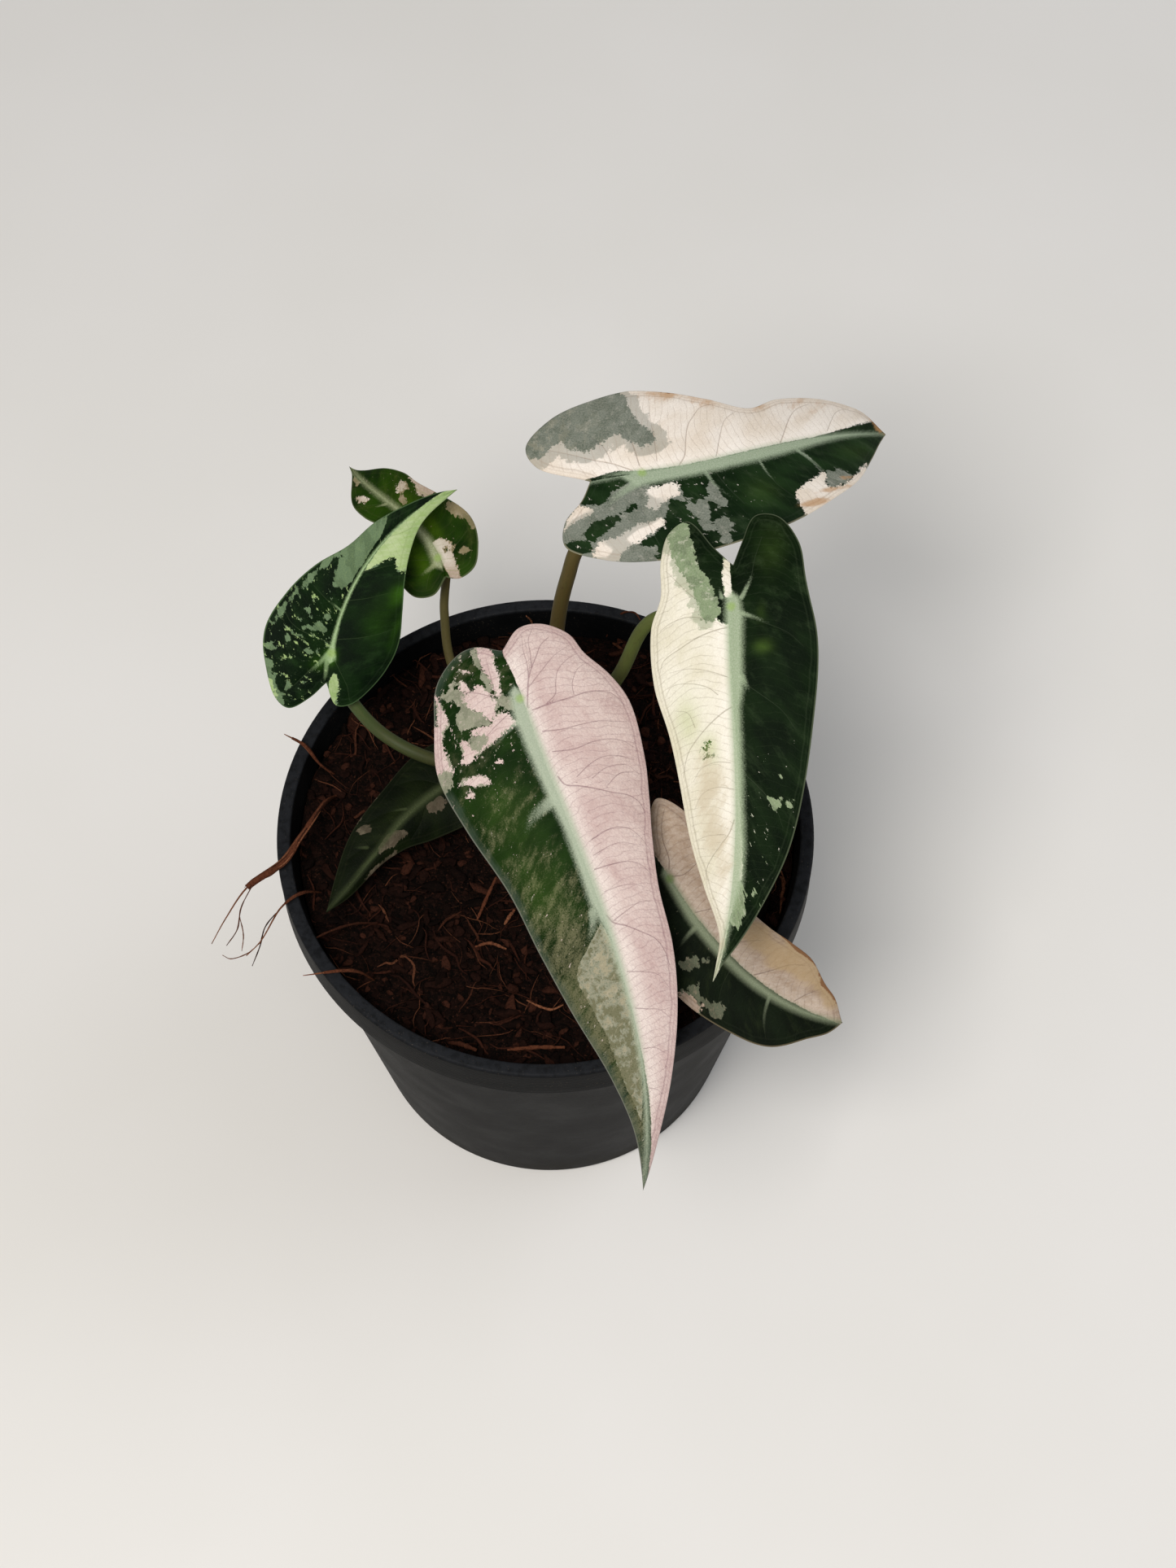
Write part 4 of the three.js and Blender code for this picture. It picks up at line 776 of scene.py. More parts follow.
def half_rows(leaf, side, spacing):
    """Where each row of one half starts on the nerve and ends on the margin."""
    outline = margin_line(leaf, side)
    lead = np.minimum.accumulate(outline[:, 0] - VEIN_SLOPE * outline[:, 1])
    main = max(12, round(leaf["length"] / spacing))
    starts = leaf["length"] * (1 - np.arange(main + 1) / main)
    at = np.minimum(np.searchsorted(-lead, -starts), len(outline) - 1)
    lobe = outline[at[-1]:]
    back = int(np.argmin(lobe[:, 0]))
    round_lobe, to_notch = (evenly(part, max(6, round(line_length(part) / spacing)))[1:]
                            for part in (lobe[:back + 1], lobe[back:]))
    notch_starts = -leaf["notch"] * (np.arange(len(to_notch)) + 1) / len(to_notch)
    ends = np.vstack([outline[at], round_lobe, to_notch])
    return np.concatenate([starts, np.zeros(len(round_lobe)), notch_starts]), ends


def half_grid(leaf, side, spacing):
    """The flat points of one half in rows from the nerve to the margin, and how far out each one is."""
    starts, ends = half_rows(leaf, side, spacing)
    reach = np.maximum(np.linalg.norm(ends - np.stack([starts, 0 * starts], -1), axis=1), 0.02)
    inside = np.maximum(1 - EDGE_THICKNESS / reach, 0.2)[:, None]
    inner = np.linspace(0, 1, max(10, round(leaf["half_width"] / spacing)))
    shares = np.hstack([inner * inside, 1 - (1 - inside) * ROUND_EDGE])
    s = starts[:, None] + (ends[:, 0] - starts)[:, None] * shares
    t = side * ends[:, 1][:, None] * shares
    return np.stack([s, t], -1), shares


def half_surfaces(leaf, side, flat, shares, edge, vein_far):
    """One half's upper and lower points: quilted between its veins, with a nerve and a thin edge."""
    middle, up = blade_middle(leaf, flat[:, 0], flat[:, 1], side)
    half = 0.5 * np.interp(edge, [0, EDGE_THICKNESS, EDGE_SLOPE],
                           [EDGE_THICKNESS, EDGE_THICKNESS, BLADE_THICKNESS])
    half *= np.sqrt(np.clip(1 - (1 - np.clip(edge / EDGE_THICKNESS, 0, 1)) ** 2, 0, 1))
    quilt = QUILT * np.sin(np.pi * np.clip(shares, 0, 1)) * (1 - 0.9 * np.exp(-vein_far / VEIN_DIP))
    width = np.abs(flat[:, 1])
    taper = np.clip((leaf["length"] - flat[:, 0]) / TIP_TAPER, 0.3, 1) * (edge > NERVE_STOP)
    nerve = NERVE_DEPTH * np.exp(-(width / NERVE_WIDTH) ** 2) * taper
    groove = GROOVE_DEPTH * np.exp(-(width / GROOVE_WIDTH) ** 2) * taper
    return [middle + up * (half + quilt - groove)[:, None], middle + up * (quilt - half - nerve)[:, None]]


# A blade's markings

def own_finish(letter):
    return {**COMMON_FINISH, **FINISHES[letter]}


def vein_start(leaf, s, width):
    """Where on the nerve the lateral direction through a point starts."""
    lead, spread = leaf["vein_lead"]
    return (s - lead * width - VEIN_BEND * width**2) / (1 + spread * width / leaf["length"])


def spots(points, entries):
    """Soft round areas, each 1 at its middle, added up."""
    total = np.zeros(len(points))
    for s, t, along, across, strength in entries:
        far = ((points[:, 0] - s) / along) ** 2 + ((points[:, 1] - t) / across) ** 2
        total += strength * np.exp(-far)
    return total


def side_curve(points, curves):
    """A strength along the blade, with its own curve on each side of the nerve."""
    left, right = (np.interp(points[:, 0], *zip(*curve)) for curve in curves)
    return np.where(points[:, 1] < 0, left, right)


def paint_patches(letter, points):
    """How far each point lies inside pale tissue, and inside tissue that isn't full green."""
    pale = mixed = np.full(len(points), UNPAINTED)
    for tissue, outline in PATCHES[letter]:
        reach = patch_reach(points, outline)
        pale = np.maximum(pale, reach) if tissue == "pale" else np.minimum(pale, -reach)
        mixed = np.minimum(mixed, -reach) if tissue == "green" else np.maximum(mixed, reach)
    return pale, mixed


def rib_reach(curves, points, side):
    """How far each point lies inside the pale rib."""
    reach = np.interp(points[:, 0], *zip(*curves[0 if side < 0 else 1]))
    back = np.clip(-1 - points[:, 0], 0, 3)
    return np.clip(reach - np.abs(points[:, 1]) - back, -4, 4)


def nearest_vein(letter, points):
    """The way from each point to the nearest vein, with that vein's width there, and how far it is."""
    nearest = np.full(len(points), np.inf)
    way = np.zeros((len(points), 3))
    for start_width, line in VEINS[letter]:
        fine = smooth_line(line, 6 * len(line))
        widths = start_width * np.linspace(1, VEIN_TIP_SHARE, len(fine))
        for start, end, first, last in zip(fine[:-1], fine[1:], widths[:-1], widths[1:]):
            gap, share = way_to(points, start, end)
            far = np.linalg.norm(gap, axis=1)
            closer = far < nearest
            nearest[closer] = far[closer]
            way[closer, :2] = gap[closer]
            way[closer, 2] = (first + (last - first) * share)[closer]
    return way, np.minimum(nearest, FARTHEST_VEIN)


def feather_share(letter, points):
    """How strongly a pale feather shows at each point: 1 on its line, fading beside and along it."""
    total = np.zeros(len(points))
    for reach, line in FEATHERS[letter]:
        fine = smooth_line(line, FEATHER_STEPS)
        for i, (start, end) in enumerate(zip(fine[:-1], fine[1:])):
            far = np.linalg.norm(way_to(points, start, end)[0], axis=1)
            total = np.maximum(total, np.clip(1.3 - far / reach, 0, 1) * (1 - 0.75 * i / FEATHER_STEPS))
    return total


def half_marks(letter, side, flat, edge, vein_way, vein_far):
    """What the leaf's materials read at each flat point of one half."""
    own = own_finish(letter)
    pale, mixed = paint_patches(letter, flat)
    s, t = flat.T
    return {
        "pale": pale, "mixed": mixed, "edge": edge, "rib": rib_reach(own["rib"], flat, side),
        "vein_far": vein_far, "vein_way": vein_way, "feather": feather_share(letter, flat),
        "flecks": side_curve(flat, own["flecks"]), "mottle": side_curve(flat, own["mottle"]),
        "light": spots(flat, own["light_spots"]), "tan_and_shade": spots(flat, own["tan_and_shade_spots"]),
        "joint": np.linalg.norm(flat - JOINT_MIDDLE, axis=1), "leaf_flat": np.stack([s, t, 0 * t], -1),
        "leaf_place": np.stack([vein_start(LEAVES[letter], s, np.abs(t)), t, 0 * t], -1),
    }


def joined(points):
    """Which points to keep when alike ones are merged, and where each point went."""
    keys = np.round(points * MERGES_PER_MM).astype(np.int64)
    _, kept, moved = np.unique(keys, axis=0, return_index=True, return_inverse=True)
    return kept, moved.ravel()


def blade_half(letter, side):
    """One half of a blade: its rows and columns, its upper and lower points, and its marks."""
    leaf = LEAVES[letter]
    grid, shares = half_grid(leaf, side, LARGE_SPACING if leaf["length"] > LARGE_BLADE else SMALL_SPACING)
    flat = grid.reshape(-1, 2)
    edge = line_distance(flat, evenly(margin_line(leaf, side), EDGE_STEPS) * [1, side])
    vein_way, vein_far = nearest_vein(letter, flat)
    surfaces = half_surfaces(leaf, side, flat, shares.ravel(), edge, vein_far)
    return grid.shape[:2], surfaces, half_marks(letter, side, flat, edge, vein_way, vein_far)


def make_blade(letter, materials):
    """A closed blade: both halves above and below, merged along the nerve and the margin."""
    points, faces, slots, marks = [], [], [], {}
    base = 0
    for side in (-1, 1):
        (rows, columns), surfaces, own_marks = blade_half(letter, side)
        layer = rows * columns
        points += surfaces
        for name, values in own_marks.items():
            marks.setdefault(name, []).extend([values, values])
        a = (base + np.arange(rows - 1)[:, None] * columns + np.arange(columns - 1)).ravel()
        above = np.stack([a, a + 1, a + columns + 1, a + columns], -1)
        faces += [above[:, ::-side], above[:, ::side] + layer]
        slots += [0] * len(above) + [1] * len(above)
        base += 2 * layer
    points = np.vstack(points)
    kept, moved = joined(points)
    piece = mesh_piece("leaf_" + letter, points[kept], moved[np.vstack(faces)].tolist(), materials, slots)
    for name, values in marks.items():
        add_mark(piece, name, np.concatenate(values)[kept])
    return piece


# Meshes

def in_scene(name, data):
    """A new object in the scene, at the origin."""
    made = bpy.data.objects.new(name, data)
    bpy.context.scene.collection.objects.link(made)
    return made


def plain_mesh(made):
    """The mesh of an object after its modifiers."""
    return bpy.data.meshes.new_from_object(made.evaluated_get(bpy.context.evaluated_depsgraph_get()))


def mesh_piece(name, points, faces, materials, slots=None):
    """An object at the origin from points in millimetres. Corners that fell together are dropped."""
    clean, used = [], []
    for index, face in enumerate(faces):
        corners = [c for c, after in zip(face, face[1:] + face[:1]) if c != after]
        if len(set(corners)) > 2 and len(set(corners)) == len(corners):
            clean.append(corners)
            used.append(index)
    mesh = bpy.data.meshes.new(name)
    mesh.from_pydata((np.asarray(points) * MM).tolist(), [], clean)
    for material in materials:
        mesh.materials.append(material)
    if slots is not None:
        mesh.polygons.foreach_set("material_index", np.array(slots, np.int32)[used])
    mesh.polygons.foreach_set("use_smooth", np.ones(len(clean), bool))
    mesh.update()
    return in_scene(name, mesh)


def add_mark(piece, name, values):
    """A number or a vector at each point, which the piece's materials read."""
    values = np.asarray(values, np.float32)
    kind, label = ("FLOAT", "value") if values.ndim == 1 else ("FLOAT_VECTOR", "vector")
    piece.data.attributes.new(name, kind, "POINT").data.foreach_set(label, values.ravel())


def round_points(radius, height, sides):
    """Points round the pot's middle line."""
    turns = [2 * math.pi * k / sides for k in range(sides)]
    return [(radius * math.cos(turn), radius * math.sin(turn), height) for turn in turns]


def ring_solid(first, rings, last):
    """The points and faces of a closed solid: rings of points between two end points."""
    sides = len(rings[0])
    points = np.vstack([[first], *rings, [last]])
    end, top = len(points) - 1, 1 + (len(rings) - 1) * sides
    faces = []
    for k in range(sides):
        after = (k + 1) % sides
        faces += [[0, 1 + after, 1 + k], [end, top + k, top + after]]
        faces += [[row + k, row + after, row + sides + after, row + sides + k]
                  for row in range(1, top, sides)]
    return points, faces


def tube(line, radii, sides):
    """The points and faces of a closed round bar, with how far along and round it each point is."""
    line = np.asarray(line, float)
    ahead = np.gradient(line, axis=0)
    ahead /= np.linalg.norm(ahead, axis=1)[:, None]
    across = np.cross(ahead[0], ASIDE)
    turns = 2 * np.pi * np.arange(sides) / sides
    rings = []
    for centre, radius, way in zip(line, radii, ahead):
        across = across - way * (across @ way)
        across /= np.linalg.norm(across)
        round_way = np.cos(turns)[:, None] * across + np.sin(turns)[:, None] * np.cross(way, across)
        rings.append(centre + radius * round_way)
    points, faces = ring_solid(line[0], rings, line[-1])
    along = np.repeat(np.linspace(0, 1, len(line)), sides)
    return points, faces, np.array([0, *along, 1]), np.array([0, *np.tile(turns, len(line)), 0])


def shaped_tube(line, radii, sides, shape):
    """A tube that is drawn in towards its line by a share for each angle round it."""
    points, faces, along, turns = tube(line, radii, sides)
    centres = np.vstack([line[:1], np.repeat(line, sides, 0), line[-1:]])
    return centres + (points - centres) * shape(turns)[:, None], faces, along, turns


def joined_solids(name, solids, material):
    """One object from several solids, each given as its points, its faces and its marks."""
    faces, base = [], 0
    for points, own_faces, _ in solids:
        faces += [[corner + base for corner in face] for face in own_faces]
        base += len(points)
    piece = mesh_piece(name, np.vstack([points for points, _, _ in solids]), faces, [material])
    for mark in solids[0][2]:
        add_mark(piece, mark, np.concatenate([marks[mark] for _, _, marks in solids]))
    return piece


# Trees of nodes

def tone(code):
    """A colour from its six-figure screen code."""
    values = [int(code[i:i + 2], 16) / 255 for i in (1, 3, 5)]
    return (*[v / 12.92 if v <= 0.04045 else ((v + 0.055) / 1.055) ** 2.4 for v in values], 1)


class Value:
    """An output in a tree of nodes, which is added, subtracted and multiplied like a number."""

    def __init__(self, nodes, socket):
        self.nodes, self.socket = nodes, socket

    def __add__(self, other):
        return self.nodes.math("ADD", self, other)

    def __radd__(self, other):
        return self.nodes.math("ADD", other, self)

    def __sub__(self, other):
        return self.nodes.math("SUBTRACT", self, other)

    def __rsub__(self, other):
        return self.nodes.math("SUBTRACT", other, self)

    def __mul__(self, other):
        return self.nodes.math("MULTIPLY", self, other)

    def __truediv__(self, other):
        return self.nodes.math("DIVIDE", self, other)

    def __abs__(self):
        return self.nodes.math("ABSOLUTE", self)

    def step(self, low, high, start=0.0, end=1.0):
        """A smooth rise from start to end as the value goes from low to high."""
        return self.nodes.made("ShaderNodeMapRange", {"interpolation_type": "SMOOTHSTEP"}, Value=self,
                               From_Min=low, From_Max=high, To_Min=start, To_Max=end)


class Nodes:
    """A tree of nodes that is built node by node."""

    def __init__(self, tree):
        self.tree = tree

    def put(self, socket, value):
        if isinstance(value, Value):
            self.tree.links.new(value.socket, socket)
        else:
            colour = isinstance(value, str) and value.startswith("#")
            socket.default_value = tone(value) if colour else value

    def made(self, kind, settings=(), output=None, **inputs):
        """The named output of a new node, or else its first one."""
        node = self.tree.nodes.new(kind)
        for name, value in dict(settings).items():
            setattr(node, name, value)
        for name, value in inputs.items():
            label = name.replace("_", " ")
            self.put(next(s for s in node.inputs if s.enabled and s.name == label), value)
        return Value(self, node.outputs[output] if output else next(s for s in node.outputs if s.enabled))

    def math(self, operation, *values, vector=False):
        node = self.tree.nodes.new("ShaderNodeVectorMath" if vector else "ShaderNodeMath")
        node.operation = operation
        for socket, value in zip([s for s in node.inputs if s.enabled], values):
            self.put(socket, value)
        return Value(self, next(s for s in node.outputs if s.enabled))

    def part(self, vector, axis):
        return self.made("ShaderNodeSeparateXYZ", (), axis, Vector=vector)


class Look(Nodes):
    """A material's nodes."""

    def __init__(self, name):
        self.material = bpy.data.materials.new(name)
        self.material.use_nodes = True
        super().__init__(self.material.node_tree)

    def finish(self, **values):
        shader = self.tree.nodes["Principled BSDF"]
        for name, value in values.items():
            self.put(shader.inputs[name.replace("_", " ").title().replace("Ior", "IOR")], value)
        return self.material

    def mark(self, name, part="Fac"):
        """A number that the mesh carries, or a vector."""
        return self.made("ShaderNodeAttribute", {"attribute_name": name}, part)

    def place(self):
        """Where each point of the piece is, in metres."""
        return self.made("ShaderNodeTexCoord", (), "Object")

    def millimetres(self):
        return self.moved(self.place(), (1 / MM,) * 3)

    def moved(self, vector, scale=(1, 1, 1), shift=(0, 0, 0)):
        return self.made("ShaderNodeMapping", Vector=vector, Scale=scale, Location=shift)

    def noise(self, vector, scale, detail=2.0, roughness=0.5, stretch=(1, 1, 1), shift=(0, 0, 0)):
        """Cloudy noise from 0 to 1, drawn out where a stretch is below 1."""
        if (stretch, shift) != ((1, 1, 1), (0, 0, 0)):
            vector = self.moved(vector, stretch, shift)
        return self.made("ShaderNodeTexNoise", Vector=vector, Scale=scale, Detail=detail,
                         Roughness=roughness)

    def cells(self, vector, scale, feature="F1", output="Distance"):
        return self.made("ShaderNodeTexVoronoi", {"feature": feature}, output, Vector=vector, Scale=scale)

    def mix(self, share, first, second):
        return self.made("ShaderNodeMix", {"data_type": "RGBA"}, Factor=share, A=first, B=second)

    def painted(self, colour, *coats):
        """A colour under coats of paint, each given as how far it covers and its own colour."""
        for share, coat in coats:
            colour = self.mix(share, colour, coat)
        return colour

    def bump(self, height, strength=1.0):
        """A relief from heights in millimetres."""
        return self.made("ShaderNodeBump", Height=height, Strength=strength, Distance=MM)


# The skin of a blade

class BladeLook(Look):
    """A blade's material: its patches of colour with ragged edges, its veins, its flecks and its rib."""

    def __init__(self, letter, under):
        super().__init__(f"leaf_{letter}_{'underside' if under else 'upper'}")
        self.half_width, self.own, self.under = LEAVES[letter]["half_width"], own_finish(letter), under
        place, flat = self.mark("leaf_place", "Vector"), self.mark("leaf_flat", "Vector")
        self.leaf_place, self.leaf_flat = place, flat
        self.out = abs(self.part(place, "Y"))
        self.edge, self.rib, self.mottle = self.mark("edge"), self.mark("rib"), self.mark("mottle")
        self.broad = self.noise(place, 0.4, 3, stretch=(1, 0.8, 1), shift=(3, 0, 0)) - 0.5
        self.jags = self.noise(flat, 1.7, 4, 0.7, shift=(0, 17, 0)) - 0.5
        self.speck = self.noise(place, 0.95, 4, 0.7, (1, self.own["grain"], 1), (31, 0, 0))
        self.slow = self.noise(place, 0.16, 2, stretch=(1, 0.8, 1))
        self.streaks = self.noise(place, 0.8, 5, 0.7, (1, 0.6, 1), (9, 4, 0))
        self.dust = self.noise(flat, 3.0, 3, 0.7, shift=(3, 8, 0))
        self.haze = self.noise(place, 0.26, 6, 0.68, (1, 0.62, 1), (50, 0, 0))

    def main_veins(self, inner):
        """The veins that stand out."""
        way = self.mark("vein_way", "Vector")
        near = self.math("LENGTH", self.math("MULTIPLY", way, (1, 1, 0), vector=True), vector=True)
        line = (near - self.part(way, "Z") * 0.5).step(-0.12, 0.08, 1, 0)
        return line * inner * self.mark("vein_far").step(0.7, 1.0, 1, 0)

    def small_veins(self, wobble, inner):
        """The arching side veins that lie at equal steps along the nerve."""
        bow = self.math("SINE", self.math("MINIMUM", self.out * 0.24, 3.1)) * 1.7
        reach = self.math("MINIMUM", self.out / self.half_width, 1.0)
        sweep = self.math("POWER", reach, 4.0) * -4.0
        arched = self.part(self.leaf_flat, "X") + bow + sweep + wobble * 2.6
        off_line = self.math("PINGPONG", arched / SMALL_VEIN_SPACING, 0.5) * SMALL_VEIN_SPACING
        broken = self.noise(self.leaf_place, 0.45, 2, shift=(5, 5, 0)).step(0.28, 0.52)
        return off_line.step(0.0, 0.16, 1, 0) * broken * inner

    def net_veins(self):
        """The finest net between the veins."""
        wander = self.made("ShaderNodeTexNoise", (), "Color", Vector=self.leaf_place, Scale=1.1, Detail=2.0)
        bent = self.math("ADD", self.leaf_place, wander, vector=True)
        return self.cells(bent, 1.45, "DISTANCE_TO_EDGE").step(0.0, 0.14, 1, 0)

    def margin_veins(self, wobble):
        """The two veins that run along the margin, the outer one fainter."""
        inner = abs(self.edge - (1.5 + wobble * 1.2)).step(0.08, 0.24, 1, 0)
        outer = abs(self.edge - (0.75 + wobble * 0.8)).step(0.05, 0.16, 0.6, 0)
        return self.math("MAXIMUM", inner, outer)

    def tissues(self):
        """How far the pale and the mixed tissue cover each place, and the thin veil beside the pale."""
        pale_reach, mixed_reach, width = self.mark("pale"), self.mark("mixed"), self.own["veil"]
        room = self.out.step(0, 4, 0.2, 1) * self.mottle.step(0.5, 0.9, 1, 0.4)
        pale = (pale_reach + (self.broad * 2.2 + self.jags * 3.6) * room).step(*RAGGED)
        mixed = (mixed_reach + (self.broad * -2.2 + (self.speck - 0.5) * 3.2) * room).step(*RAGGED)
        veil = (pale_reach + self.broad * -7 + self.jags * 2.5).step(width - 0.3, width + 0.4, 1, 0)
        veil *= (mixed_reach - pale_reach).step(0.5, 1.5)
        return pale, self.math("MAXIMUM", mixed, pale), veil

    def green_tissue(self):
        """Green with soft mottling, lighter spots and flecks."""
        own, mottle, haze, dust, streaks = self.own, self.mottle, self.haze, self.dust, self.streaks
        level = self.out.step(2, 8, 0.7, 0.66) - mottle * 0.2
        soft = (haze * 0.5 + streaks * 0.25 + dust * 0.25 - level).step(-0.06, 0.1)
        salt = dust.step(0.56, 0.66) * haze.step(0.48, 0.62) * self.jags.step(0, 0.14)
        flecked = (self.speck - (0.78 - self.mark("flecks") * 0.32)).step(0, 0.02)
        return self.painted(
            self.mix(self.slow.step(0.38, 0.68, 0, 0.8), own["dark"], own["light"]),
            (streaks.step(0.5, 0.7, 0, 0.2), own["light"]),
            (haze.step(0.5, 0.68, 0, 0.3), own["mottle_tone"]),
            (soft * mottle.step(0, 0.6, 0, 0.85), own["mottle_tone"]),
            (salt * mottle.step(0.2, 0.7, 0, 0.8), own["pale_shade"]),
            (dust.step(0.44, 0.36) * mottle.step(0.2, 0.7, 0, 0.7), own["dark"]),
            (self.mark("light") * haze.step(0.25, 0.65, 0.5, 1), own["glow"]),
            ((self.edge + self.broad * 3).step(0.3, 2.4, own["margin"], 0), MARGIN_TONE),
            (flecked * 0.85, self.mix(streaks.step(0.44, 0.56), own["mixed"], own["pale"])))

    def mixed_tissue(self):
        """Overlapping greys, broken into lumps of dark and light where the mottling is strong."""
        own, dust, stirred = self.own, self.dust, self.mottle.step(0.3, 0.8)
        still = 1.0 - stirred * 0.8
        light_streaks = self.streaks.step(0.54, 0.64)
        lumps = self.noise(self.leaf_flat, 0.42, 5, 0.62, shift=(60, 2, 0))
        lumps -= self.part(self.leaf_flat, "X").step(56, 90, 0, 0.1)
        return self.painted(
            own["mixed"],
            (self.broad.step(-0.03, 0.05) * still * 0.25, own["light"]),
            (light_streaks * still * own["motes"], own["pale"]),
            (dust.step(0.4, 0.62) * 0.11, own["pale"]),
            (lumps.step(0.5, 0.4) * stirred * 0.85, own["mottle_tone"]),
            (lumps.step(0.5, 0.58) * stirred * 0.8, LUMP_TONE),
            (light_streaks * stirred * 0.45, STREAK_TONE),
            (dust.step(0.42, 0.34) * stirred * 0.6, own["light"]))

    def pale_tissue(self, veil):
        """Pale tissue, greyer towards the margin, with a painted highlight along the ridge beside the nerve.
        """
        own, cloud = self.own, self.noise(self.leaf_place, 0.11, 2)
        return self.painted(
            own["pale"],
            (cloud.step(0.38, 0.66, 0, 0.7), own["pale_shade"]),
            (self.edge.step(0, 2.6, 0.6, 0), own["pale_shade"]),
            # painted highlight along the ridge beside the nerve
            (self.out.step(1.2, 5, own["ridge_highlight"], 0) * self.edge.step(1, 4), RIDGE_HIGHLIGHT_TONE),
            (self.speck.step(0.3, 0.7) * 0.16, PALE_GRAIN_TONE),
            (veil * 0.5, own["mixed"]),
            (self.mark("light") * 0.45, own["pale_glow"]))

    def with_veins(self, colour, pale, on_green, main, small, collecting):
        """Veins that are thin and dark on pale tissue, faint and light on green."""
        own = self.own
        net = self.net_veins() * pale * self.edge.step(0, 9, 1.3, 0.9) * own["net"]
        return self.painted(
            colour,
            (main * pale * 0.6, own["vein"]), (small * pale * 0.3, own["vein"]),
            (net, own["vein"]), (collecting * pale * 0.34, own["vein"]),
            (main * on_green * 0.08, own["rib_tone"]), (small * on_green * 0.025, own["mixed"]),
            (collecting * on_green * 0.03, own["mixed"]))

    def with_rib(self, colour, pale, on_green):
        """Feathers and the rib, made of fine pale specks, then the light margin."""
        own, soft_edge = self.own, self.own["fringe"]
        loose = (self.streaks - 0.5) * 1.2 + (self.dust - 0.5) * 2.6
        loose = loose * pale.step(0, 1, 1, 0.2) * own["dusting"]
        plume = (self.mark("feather") + loose * 0.5).step(0.3, 1.05, 0, 0.72)
        fringe = (self.rib + loose).step(-soft_edge, soft_edge / 2)
        core = (self.rib + loose * 0.45).step(-soft_edge / 10, soft_edge * 0.9)
        bright = self.mix(self.dust.step(0.42, 0.64, 0, 0.45), own["rib_tone"], own["rib_grains"])
        return self.painted(
            colour,
            (plume * pale.step(0, 1, 1, 0.25), own["rib_tone"]),
            (fringe * pale.step(0, 1, 0.62, 0.55), own["rib_tone"]), (core * 0.8, bright),
            (self.edge.step(0.05, 0.4, 1, 0) * on_green * 0.7, own["edge_tone"]))

    def with_tan_and_shade_places(self, colour):
        """Tan places that are brown where they reach the margin, and the joint over the stalk. On b the tan
        places are painted shade.
        """
        tan_and_shade_reach = self.mark("tan_and_shade") + (self.slow - 0.5) * 1.3 + (self.speck - 0.5) * 0.9
        return self.painted(
            colour, (tan_and_shade_reach.step(0.42, 0.95, 0, 0.7), self.own["tan_and_shade_tone"]),
            ((tan_and_shade_reach + self.edge.step(0, 1.2, 0.5, 0)).step(1.25, 1.5, 0, 0.8), BROWN_EDGE_TONE),
            (self.mark("joint").step(0.4, 1.4, 0.6, 0), self.own["joint_tone"]))

    def blade(self):
        """The whole material. Its underside is duller, with the veins raised."""
        wobble = self.noise(self.leaf_place, 0.35, 3, stretch=(0.5, 0.5, 1)) - 0.5
        inner = self.edge.step(0.5, 1.3)
        main, small = self.main_veins(inner), self.small_veins(wobble, inner)
        collecting = self.margin_veins(wobble)
        pale, mixed, veil = self.tissues()
        on_green = 1.0 - mixed
        colour = self.mix(mixed, self.green_tissue(), self.mixed_tissue())
        colour = self.mix(pale, colour, self.pale_tissue(veil))
        colour = self.with_veins(colour, pale, on_green, main, small, collecting)
        colour = self.with_tan_and_shade_places(self.with_rib(colour, pale, on_green))
        if self.under:
            veined = self.math("MAXIMUM", main, self.rib.step(-0.2, 0.4))
            colour = self.painted(colour, (0.5, self.mix(mixed, *UNDERSIDE_TONES)),
                                  (veined * 0.4, self.own["edge_tone"]))
        raised = 1.0 if self.under else -1.0
        relief = main * (0.1 * raised) + small * (0.04 * raised) + collecting * (0.03 * raised) \
            + self.dust * 0.1 + self.jags * 0.16
        sheen = self.dust.step(0.25, 0.75, *((0.62, 0.7) if self.under else (0.5, 0.6)))
        return self.finish(base_color=colour, roughness=sheen, specular_ior_level=DULL_SHINE,
                           normal=self.bump(relief, 0.8))


# Other materials

def stalk_look(name, lower, upper):
    """A leaf stalk's skin: a slow change of colour along it, fine streaks and small dark dashes."""
    look = Look(name)
    place, along = look.mark("stalk_place", "Vector"), look.mark("along")
    streaks = look.noise(place, 1.6, 5, 0.6, (1, 1, 0.12))
    dashes = look.noise(place, 2.1, 3, 0.6, (1, 1, 0.35), (7, 0, 3))
    slow = look.noise(place, 0.09, 2, stretch=(0.3, 0.3, 1)) - 0.5
    colour = look.painted(
        look.mix((along + slow * 0.6).step(0.1, 0.9), lower, upper),
        (streaks.step(0.42, 0.66, 0, 0.35), "#4a4a26"), (dashes.step(0.6, 0.68, 0, 0.4), "#3d2f1f"),
        (along.step(0.9, 1, 0, 0.5), "#a9ad7e"), (along.step(0.0, 0.3, 0.45, 0), "#8a6a4c"))
    return look.finish(base_color=colour, roughness=streaks.step(0.3, 0.7, 0.5, 0.62),
                       specular_ior_level=0.22, normal=look.bump(streaks * 0.06 + dashes * 0.02, 0.8))


def crown_look():
    """The plant's foot: pale sheaths with brown papery edges over a darker stem."""
    look = Look("crown_skin")
    place = look.millimetres()
    streaks = look.noise(place, 1.3, 5, 0.62, (1, 1, 0.16))
    patches = look.noise(place, 0.35, 4)
    colour = look.painted(
        look.mix(look.part(place, "Z").step(91, 108), "#54402c", "#8d8756"),
        (streaks.step(0.45, 0.64, 0, 0.6), "#5f4a2c"), (patches.step(0.52, 0.7, 0, 0.6), "#a48a63"))
    return look.finish(base_color=colour, roughness=streaks.step(0.3, 0.7, 0.5, 0.7),
                       specular_ior_level=0.35, normal=look.bump(streaks * 0.16 + patches * 0.1))


